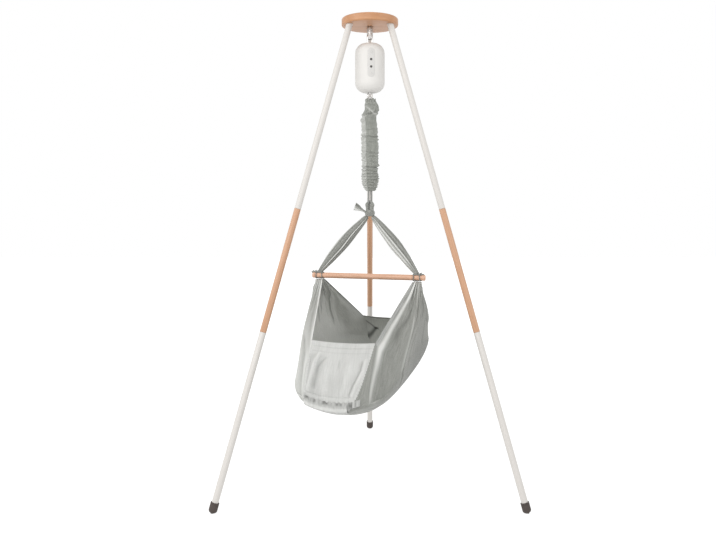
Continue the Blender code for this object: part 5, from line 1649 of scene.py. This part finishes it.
def side_relief(side, t, s):
    """How far a side sheet stands out of its plain surface, outwards."""
    rise = smooth_step(s / 0.10)
    fine = (0.0012 + 0.0026 * rise) * (1 - smooth_step((s - 0.10) / 0.34))
    height = fine * gathers(t) + side_fold(side, t, s, 0)
    height += 0.0025 * noise.noise((2.5 * t, 2.0 * s, 3 if side == "left" else 8)) * smooth_step(s / 0.3)
    edge = 1 - smooth_step((abs(t) - 0.965) / 0.035)
    low = 1 - smooth_step((s - 0.94) / 0.06)
    return height * edge * low


def side_painted_light_and_shade(side, t, s):
    """Painted highlights on fold crests and on the small gathers under the bar, painted shade in creases. The
    left sheet's foot end is painted paler as lit by the key lamp; the right sheet, turned away from it, is
    painted darker towards its head end and its bottom.
    """
    value = side_fold(side, t, s, 2) + 0.10 * noise.noise((5 * t, 3 * s, 6))
    value += (
        0.50 * gathers(t) + 0.22 * sin(2 * pi * 23 * t + 2 * sin(9 * t))
    ) * (1 - smooth_step((s - 0.03) / 0.26))
    if side == "left" and t < 0:
        value += (0.14 + 0.38 * smooth_step((s - 0.15) / 0.4)) * (1 - smooth_step((t + 0.75) / 0.4))
    if side == "right":
        value -= 0.14 * smooth_step((t + 0.60) / 0.5) + 0.26 * smooth_step(
            (t + 0.30) / 0.3
        ) * smooth_step(s / 0.3)
        value -= 0.30 * smooth_step((s - 0.72) / 0.15) * smooth_step((t + 0.88) / 0.1)
    return min(max(value, -1.0), 1.0)


def side_sheet(side):
    """A side of the cradle: cloth that fans from the bar, wraps round the foot and runs down to the bottom
    seam."""
    way = -1 if side == "left" else 1
    wrap_columns = 36 if side == "right" else 0
    cells = []
    for s in shares(150):
        row = []
        for j in range(wrap_columns, 0, -1):
            w = j / wrap_columns
            point = side_point(side, -1.0, s) if s <= TOP_SHARE else wrapped_point(s, w)
            # Painted shade that deepens towards the leaning seam
            row.append(
                (*point, -0.47 - 0.05 * w, s * 0.62, side_painted_light_and_shade(side, -1.0, s) * (1 - w) - 0.10 * w, 0.0)
            )
        for share in shares(280):
            t = -1 + 2 * share
            relief = way * side_relief(side, t, s)
            row.append((*side_point(side, t, s), 0.47 * t, s * 0.62, side_painted_light_and_shade(side, t, s), relief))
        cells.append(row)
    sheet = sew(cells, f"side_cloth_{side}", ["cloth", "inner"], [f"side_{side}"], merge=True)
    hems = [side_hem(side, end) for end in ("front", "back")]


def wrapped_point(s, w):
    """The right sheet's edge round the foot: from the foot panel's own edge (w 0) to its leaning seam (w
    1)."""
    q = (s - TOP_SHARE) / (1 - TOP_SHARE)
    if s <= EDGE_SHARE:
        across, down = 1.0, (s - TOP_SHARE) / (EDGE_SHARE - TOP_SHARE)
    else:
        angle = SEAM_ANGLE * (s - EDGE_SHARE) / (1 - EDGE_SHARE)
        across, down = cos(angle) ** (2 / SECTION_POWER), 1.0
    return panel_point("front", across + (lean(q) - across) * w, down + (q - down) * w)


def turn_out(piece):
    """Turns an open sheet's faces away from the middle of the cradle."""
    mesh = piece.data
    total = sum((Vector(face.center) - HULL_CENTRE).dot(face.normal) * face.area for face in mesh.polygons)
    if total < 0:
        mesh.flip_normals()


def binding(name, line, beside, wide, thick, look, wave=0.0):
    """A strip of binding folded over an edge: a flat closed section along a line, with a row of stitches'
    ripple."""
    sides = 28
    last = len(line) - 1
    run = 0.0
    cells = []
    for i, point in enumerate(line):
        run += (point - line[i - 1]).length if i else 0.0
        along = (line[min(i + 1, last)] - line[max(i - 1, 0)]).normalized()
        inward = beside[i] - point
        inward = (inward - along * inward.dot(along)).normalized()
        normal = along.cross(inward).normalized()
        ripple = 1 + wave * sin(2 * pi * run / 0.011)
        row = []
        for k in range(sides):
            a = 2 * pi * k / sides
            c, s = cos(a), sin(a)
            across = wide * (0.5 + 0.5 * (abs(c) ** 0.6) * (1 if c > 0 else -1)) - 0.002
            up = thick * (abs(s) ** 0.55) * (1 if s > 0 else -1) * ripple
            up *= 1 - 0.30 * bump(across, wide * 0.78, wide * 0.07)
            row.append((*(point + inward * across + normal * up), 2 * wide * k / sides, run, 0.0))
        cells.append(row)
    return dress(close_ends(fabric(cells, wrap=True)), name, [look], "cradle")


def side_hem(side, end):
    """The hem along a side sheet's free edge, folded over it. The right front one is broad and ribbed."""
    way = -1 if end == "front" else 1
    broad = side == "right" and end == "front"
    inner = 0.895 if broad else 0.965
    wide = 0.026 if broad else 0.009
    # Painted light on the left front hem, which faces the key lamp, painted shade on the others, and a
    # painted shade line beside a painted highlight at the hem's inner edge
    pale = (0.45 if side == "left" else -0.12) if end == "front" else -0.25
    cells = []
    for share in shares(120):
        s = 0.012 + (TOP_SHARE - 0.012) * share
        row = []
        for u in shares(16):
            tone = pale - 0.5 * bump(u, 0.86, 0.06) + 0.25 * bump(u, 0.98, 0.08)
            row.append((*side_point(side, way * (1.0 + (inner - 1.0) * u), s), wide * u, 0.36 * s, tone))
        cells.append(row)
    piece = fabric(cells)
    turn_out(piece)
    for vert, normal in [(vert, vert.normal.copy()) for vert in piece.data.vertices]:
        vert.co += normal * CLOTH / 2
    piece.data.update()
    thicken(piece, CLOTH + 0.0012)
    return dress(piece, f"hem_{side}_{end}", ["hem" if broad else "cloth"], "cradle")


# The foot panel's creases: (depth, width across, tone: painted highlight above 0 and painted shade below, the
# line's points as (share down the panel, place across))
PANEL_FOLDS = (
    (-0.0035, 0.060, -0.24, ((0.17, -0.44), (0.22, -0.54), (0.30, -0.65), (0.5, -0.69), (0.57, -0.70))),
    (0.0045, 0.055, 0.42, ((0.125, -0.68), (0.25, -0.78), (0.43, -0.82), (0.66, -0.90))),
    (-0.0030, 0.030, -0.22, ((0.20, -0.94), (0.4, -0.97), (0.66, -0.96))),
    (-0.0022, 0.030, -0.22, ((0.19, 0.0), (0.24, 0.0))),
    (0.0015, 0.070, 0.12, ((0.25, 0.30), (0.5, 0.28), (0.66, 0.22))),
    (-0.0035, 0.040, -0.30, ((0.20, 0.71), (0.32, 0.68), (0.43, 0.59), (0.535, 0.50), (0.66, 0.42))),
    (0.0035, 0.045, 0.34, ((0.18, 0.82), (0.32, 0.78), (0.43, 0.69), (0.55, 0.60), (0.68, 0.52))),
    (0.0010, 0.080, 0.08, ((0.3, -0.36), (0.5, -0.34), (0.6, -0.34))),
)


def panel_fold(across, s, column):
    value = 0.0
    for entry in PANEL_FOLDS:
        line = entry[3]
        fade = smooth_step((s - line[0][0]) / 0.06 + 0.4) * (1 - smooth_step((s - line[-1][0]) / 0.10))
        value += entry[column] * fade * bump(across, read_off(s, line), entry[1])
    return value


def panel_relief(end, across, s):
    """A panel's own shape: a plain hem band on top, then soft creases, and a plain band above the gathered
    seam."""
    if end == "back":
        return 0.0025 * noise.noise(
            (3 * across, 3 * s, 5)
        ) + 0.0012 * sin(7 * across + 3 * s) * s * (1 - s) * 4
    height = -0.0012 * bump(s, 0.055, 0.007) - 0.0014 * bump(s, 0.715, 0.010) + panel_fold(across, s, 0)
    start = smooth_step((s - 0.14) / 0.06) * (1 - smooth_step((s - 0.70) / 0.1))
    height += start * (
        0.0016 * noise.noise((5 * across, 3 * s, 2)) + 0.0008 * noise.noise((13 * across, 5 * s, 4))
    )
    height += bump(s, 0.80, 0.030) * 0.0012 * sin(2 * pi * 6 * across + 1.5 * sin(4 * across))
    return height


# Painted light and shade on the foot panel: highlights on crests, shade in creases, along the hem band's
# lines, above the gathered seam, over its left part and at its bottom
def panel_painted_light_and_shade(across, s):
    value = panel_fold(across, s, 2) - 0.18 * bump(s, 0.055, 0.006) - 0.14 * bump(s, 0.110, 0.006)
    value += 0.10 * bump(s, 0.76, 0.03) - 0.14 * bump(s, 0.715, 0.010) + 0.12 * noise.noise(
        (4 * across, 3 * s, 7)
    )
    value -= 0.18 * (1 - smooth_step((across + 0.80) / 0.5)) * smooth_step((s - 0.12) / 0.05)
    return value - 0.07 - 0.18 * smooth_step((s - 0.80) / 0.05)


def foot_panel():
    cells = []
    for s in shares(130):
        right = lean(s)
        row = []
        for u in shares(200):
            across = -1 + (right + 1) * u
            relief = panel_relief("front", across, s) * (1 - bump(across, -1, 0.02)) * (
                1 - bump(across, right, 0.02)
            )
            point = panel_point("front", across, s)
            row.append((*point, 0.122 * across, 0.25 * s, panel_painted_light_and_shade(across, s), relief))
        cells.append(row)
    return sew(cells, "foot_panel_cloth", ["pale", "inner"], ["foot_panel"])


def head_painted_light_and_shade(across, s):
    """Painted shade in the crease in the head panel's left part, and the painted shade that runs down from
    its end beside the mattress, with painted light beside it."""
    crease = read_off(across, ((-1.0, 0.30), (-0.67, 0.48), (-0.50, 0.50)))
    value = -0.85 * bump(s, crease, 0.040) * (1 - smooth_step((across + 0.62) / 0.16))
    edge = read_off(s, ((0.48, -0.62), (0.83, -0.90), (1.0, -1.0)))
    below = smooth_step((s - 0.46) / 0.04)
    value += below * (0.30 * smooth_step((across - edge) / 0.12) - 1.00 * bump(across, edge, 0.085))
    second = read_off(s, ((0.50, -0.56), (0.58, -0.46), (0.80, -0.62)))
    return value - 0.45 * below * bump(across, second, 0.035) * (1 - smooth_step((s - 0.70) / 0.12))


def head_panel():
    cells = []
    for s in shares(90):
        row = []
        for u in shares(140):
            across = -1 + 2 * u
            relief = panel_relief("back", across, s) * (1 - abs(across) ** 8) * min(1.0, 8 * s)
            point = panel_point("back", across, s)
            row.append((*point, 0.122 * across, 0.17 * s, head_painted_light_and_shade(across, s), relief))
        cells.append(row)
    return sew(cells, "head_panel_cloth", ["cloth", "inner"], ["head_panel"])


def base():
    """The keel of the hull between the two bottom seams."""
    rows, columns = 160, 90
    low, high = seam_y("front"), seam_y("back")
    cells = []
    for i in range(rows):
        y = low + (high - low) * i / (rows - 1)
        row = []
        for j in range(columns):
            angle = SEAM_ANGLE + (pi - 2 * SEAM_ANGLE) * j / (columns - 1)
            point = hull_point(y, angle, -1) if angle < pi / 2 else hull_point(y, pi - angle, 1)
            edge = min(1.0, 10 * min(j, columns - 1 - j) / columns, 12 * min(i, rows - 1 - i) / rows)
            relief = edge * 0.0022 * noise.noise((6 * y, 4 * angle, 1))
            row.append((*point, 0.30 * j / (columns - 1), y, 0.0, relief))
        cells.append(row)
    sheet = sew(cells, "base_sheet", ["cloth", "inner"], ["base_cloth"])


def skirt_point(across, s):
    """The gathered strip: down the lower band of the foot panel, then under the hull's end."""
    turn = 0.72
    if s < turn:
        return panel_point("front", across, 0.79 + 0.21 * s / turn)
    y = seam_y("front") + 0.030 * (s - turn) / (1 - turn)
    x = abs(across) * PANEL_HALF / half_width(y)
    angle = pi / 2 - asin(min(x, 1.0) ** (SECTION_POWER / 2))
    point = hull_point(y, angle, -1 if across < 0 else 1)
    return Vector((HULL_MIDDLE + across * PANEL_HALF, point.y, point.z))


# The gathered strip's hollows: (place across, width, depth)
HOLLOWS = (
    (-0.90, 0.075, 1.0),
    (-0.76, 0.025, 0.3),
    (-0.655, 0.050, 0.7),
    (-0.50, 0.030, 0.3),
    (-0.36, 0.060, 0.8),
    (-0.26, 0.050, 0.9),
    (-0.12, 0.025, 0.3),
    (0.05, 0.055, 0.8),
    (0.17, 0.050, 0.7),
    (0.30, 0.020, 0.4),
)
SKIRT_OUT = Vector((0, -0.75, -0.66))


def skirt():
    """The gathered strip under the foot panel: deep hollows along its seam with painted shade in them, and a
    lower edge painted paler as a highlight; painted shade also darkens its top and its bottom.
    """
    first, last = -0.99, 0.36
    cells = []
    for s in shares(64):
        edge = bump(s, 0.50, 0.13)
        row = []
        for u in shares(300):
            across = first + (last - first) * u
            hollow = sum(depth * bump(across, at, wide) for at, wide, depth in HOLLOWS)
            lip = 0.10 * noise.noise((5 * across, 0, 8))
            hollow *= smooth_step(s / 0.05) * (1 - smooth_step((s - 0.14 - lip) / 0.14))
            ripple = noise.noise((14 * across, 3 * s, 3))
            out = 0.0020 + 0.0065 * smooth_step(
                s / 0.14
            ) - 0.0060 * hollow + 0.0020 * ripple * (1 - s) + 0.0020 * edge
            point = skirt_point(across, s) + SKIRT_OUT * out + Vector((0, 0, 0.0016 * ripple * (1 - s)))
            tone = 0.55 * edge - 0.85 * hollow - 0.26 * (1 - smooth_step((s - 0.3) / 0.1)) + 0.2 * ripple
            tone -= 0.30 * smooth_step((s - 0.66) / 0.06)
            row.append((*point, 0.30 * u, 0.05 * s, max(tone, -1.0)))
        cells.append(row)
    strip = sew(cells, "gathered_skirt", ["pale"], ["foot_skirt"], 0.0012)


def skirt_ruffle():
    """The ruffle that goes on from the strip, up the foot panel's right part."""
    cells = []
    for s in shares(30):
        row = []
        for u in shares(90):
            turn = 2 * pi * 3.3 * u
            pleat = 0.7 * sin(turn + 3.6 + 1.4 * sin(4 * u)) + 0.3 * noise.noise((9 * u, 4 * s, 2))
            out = 0.003 + 0.005 * s * (0.5 + 0.5 * pleat) * (1 - smooth_step((u - 0.85) / 0.15))
            point = panel_point("front", 0.40 + 0.36 * u, 0.80 + 0.13 * s - 0.04 * u)
            point += SKIRT_OUT * out + Vector((0.002 * s * cos(turn), 0, 0.003 * s * pleat))
            # Painted light on the pleats, painted shade over the ruffle and most near its left end
            tone = 0.40 * pleat * (1 - smooth_step((u - 0.6) / 0.3)) - 0.36
            tone -= 0.9 * bump(u, 0.16, 0.12) * (0.5 + 0.5 * bump(s, 0.5, 0.35))
            row.append((*point, 0.07 * u, 0.03 * s, tone))
        cells.append(row)
    ruffle = sew(cells, "skirt_ruffle", ["pale"], (), 0.0012)


def panel_trims(foot, head):
    """The hems along both panels' tops, and the ruffled binding down the foot panel's seams."""
    trims = {}
    for end, name, look in (("front", "foot", "pale"), ("back", "head", "cloth")):
        line, beside = ([panel_point(end, a, s) for a in np.linspace(-0.99, 0.99, 90)] for s in (0.0, 0.04))
        trims[name] = [binding(f"hem_{name}_panel", line, beside, 0.0105, 0.0016, look)]
    for name, at in (("left", lambda s: -1.0), ("right", lean)):
        down = np.linspace(0.01, 0.86, 150)
        line, beside = ([panel_point("front", at(s) * in_by, s) for s in down] for in_by in (1.0, 0.93))
        trims["foot"].append(binding(f"binding_{name}", line, beside, 0.0095, 0.0020, "pale", 0.28))


def section_z(y, x):
    angle = pi / 2 - asin(min(abs(x) / half_width(y), 1.0) ** (SECTION_POWER / 2))
    return hull_point(y, angle, 1).z


def mattress():
    """A crowned mattress in its cloth cover, with its edges drawn in."""
    sides = 64
    low = seam_y("front") + MATTRESS_ENDS[0]
    high = seam_y("back") - MATTRESS_ENDS[1]
    cells = []
    for share in shares(60):
        y = low + (high - low) * share
        close = (1 - abs(2 * share - 1) ** 9) ** 0.45 * 0.86 + 0.14 if 0 < share < 1 else 0.14
        half = MATTRESS_SHARE * half_width(y) * (0.80 + 0.20 * close) * 0.97
        thick = (MATTRESS_THICK + MATTRESS_HEAD_RISE * smooth_step(share)) * close * 0.95
        row = []
        for k in range(sides):
            angle = 2 * pi * k / sides
            x = half * cos(angle) + MATTRESS_SHIFT
            floor = section_z(y, x) + 0.0060
            rise = (thick - (floor - keel_z(y)) * 0.55) / 2
            z = floor + rise + rise * (abs(sin(angle)) ** 0.6) * (1 if sin(angle) >= 0 else -1)
            row.append((HULL_MIDDLE + x, y, z, 0.70 * k / sides, y, 0.0))
        cells.append(row)
    piece = close_ends(fabric(cells, wrap=True))
    # The mattress takes the inside cloth, which is paler as painted light
    dress(piece, "mattress_pad", ["inner"], "cradle", ["mattress"])


# Build

hub()
for leg_name in LEG_AZIMUTHS:
    leg(leg_name)
hanger()
swivel()
link()
casing()
lift_strap()
hook()
spring()
sleeve()
cord()
cloth_loop()
knot()
knot_tail()
bar()
for side_name in ("left", "right"):
    strap(side_name)
    wrap(side_name)
    bar_frill(side_name)
    side_sheet(side_name)
panels = foot_panel(), head_panel()
base()
skirt()
skirt_ruffle()
panel_trims(*panels)
mattress()

# The frame's own pieces that stay: only their finish changes
INSIDE = {"circuit_board": "board", "drive_reel": "dark", "drive_frame": "steel", "gear_motor": "steel"}
for leg_name in LEG_AZIMUTHS:
    for part in ("leg_stud", "upper_leg_connector", "lower_leg_connector"):
        INSIDE[f"{part}_{leg_name}"] = "steel"
for node, look in INSIDE.items():
    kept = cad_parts[node].data.materials
    kept.clear()
    kept.append(LOOKS[look])


# Studio


def studio():
    world = bpy.data.worlds.new("studio")
    bpy.context.scene.world = world
    world.use_nodes = True
    tree = world.node_tree
    back = tree.nodes["Background"]
    back.inputs["Color"].default_value = (1, 1, 1, 1)
    path = put(tree, "ShaderNodeLightPath")
    seen = maths(tree, "MAXIMUM", path.outputs["Is Camera Ray"], path.outputs["Is Glossy Ray"])
    seen = maths(tree, "MAXIMUM", seen, path.outputs["Is Transmission Ray"])
    strength = put(tree, "ShaderNodeMapRange", n0=seen, n3=SKY_LIGHT, n4=1.0)
    tree.links.new(strength.outputs[0], back.inputs["Strength"])

    bpy.ops.object.select_all(action="DESELECT")
    bpy.ops.mesh.primitive_plane_add(size=24, location=(0, 0, -0.0005))
    floor = bpy.context.active_object
    floor.name = "studio_floor"
    made, tree, shader = blank("floor_white")
    here = object_place(tree)
    group = use_group(tree, "film", Vector=here, Base=FLOOR_GREY, Peel=30.0, Clouding=0.01, Rough=0.9)
    finish_shader(tree, shader, group, 0.02, 0.001)
    set_inputs(shader, Specular_IOR_Level=0.0, Emission_Color=(1, 1, 1, 1))
    away = put(tree, "ShaderNodeVectorMath", {"operation": "LENGTH"}, n0=here).outputs["Value"]
    glow = ramp(tree, away, 0.8, 4.5, 0.86, 1.0)
    path = put(tree, "ShaderNodeLightPath")
    seen = maths(tree, "MAXIMUM", path.outputs["Is Camera Ray"], path.outputs["Is Glossy Ray"])
    add, minus, times = formulas(tree)
    tree.links.new(
        add(times(minus(glow, FLOOR_LIGHT), seen), FLOOR_LIGHT), shader.inputs["Emission Strength"]
    )
    floor.data.materials.append(made)

    for name, power, size, place_at, aim in (
        ("key", 54, 2.6, (-3.4, -2.4, 3.1), (0, -0.1, 0.8)),
        ("front_fill", 32, 2.0, (-0.9, -3.9, 2.3), (0, 0, 0.7)),
        ("right_fill", 16, 2.4, (2.6, -1.8, 3.0), (0, 0.1, 0.7)),
    ):
        light = bpy.data.lights.new(name, "AREA")
        light.energy = power
        light.size = size
        lamp = bpy.data.objects.new(name, light)
        lamp.location = place_at
        lamp.rotation_euler = (Vector(aim) - Vector(place_at)).to_track_quat("-Z", "Y").to_euler()
        bpy.context.scene.collection.objects.link(lamp)

    lens = bpy.data.cameras.new("camera")
    lens.sensor_width = SENSOR
    lens.lens = FOCAL_PIXELS * SENSOR / PHOTO_WIDE
    lens.shift_x, lens.shift_y = CAMERA_SHIFT
    camera = bpy.data.objects.new("camera", lens)
    camera.location = (0, HUB_Y - CAMERA_BACK, CAMERA_HEIGHT)
    camera.rotation_euler = (pi / 2 - CAMERA_PITCH, 0, 0)
    bpy.context.scene.collection.objects.link(camera)
    bpy.context.scene.camera = camera
    bpy.context.scene.view_settings.view_transform = "Standard"


studio()
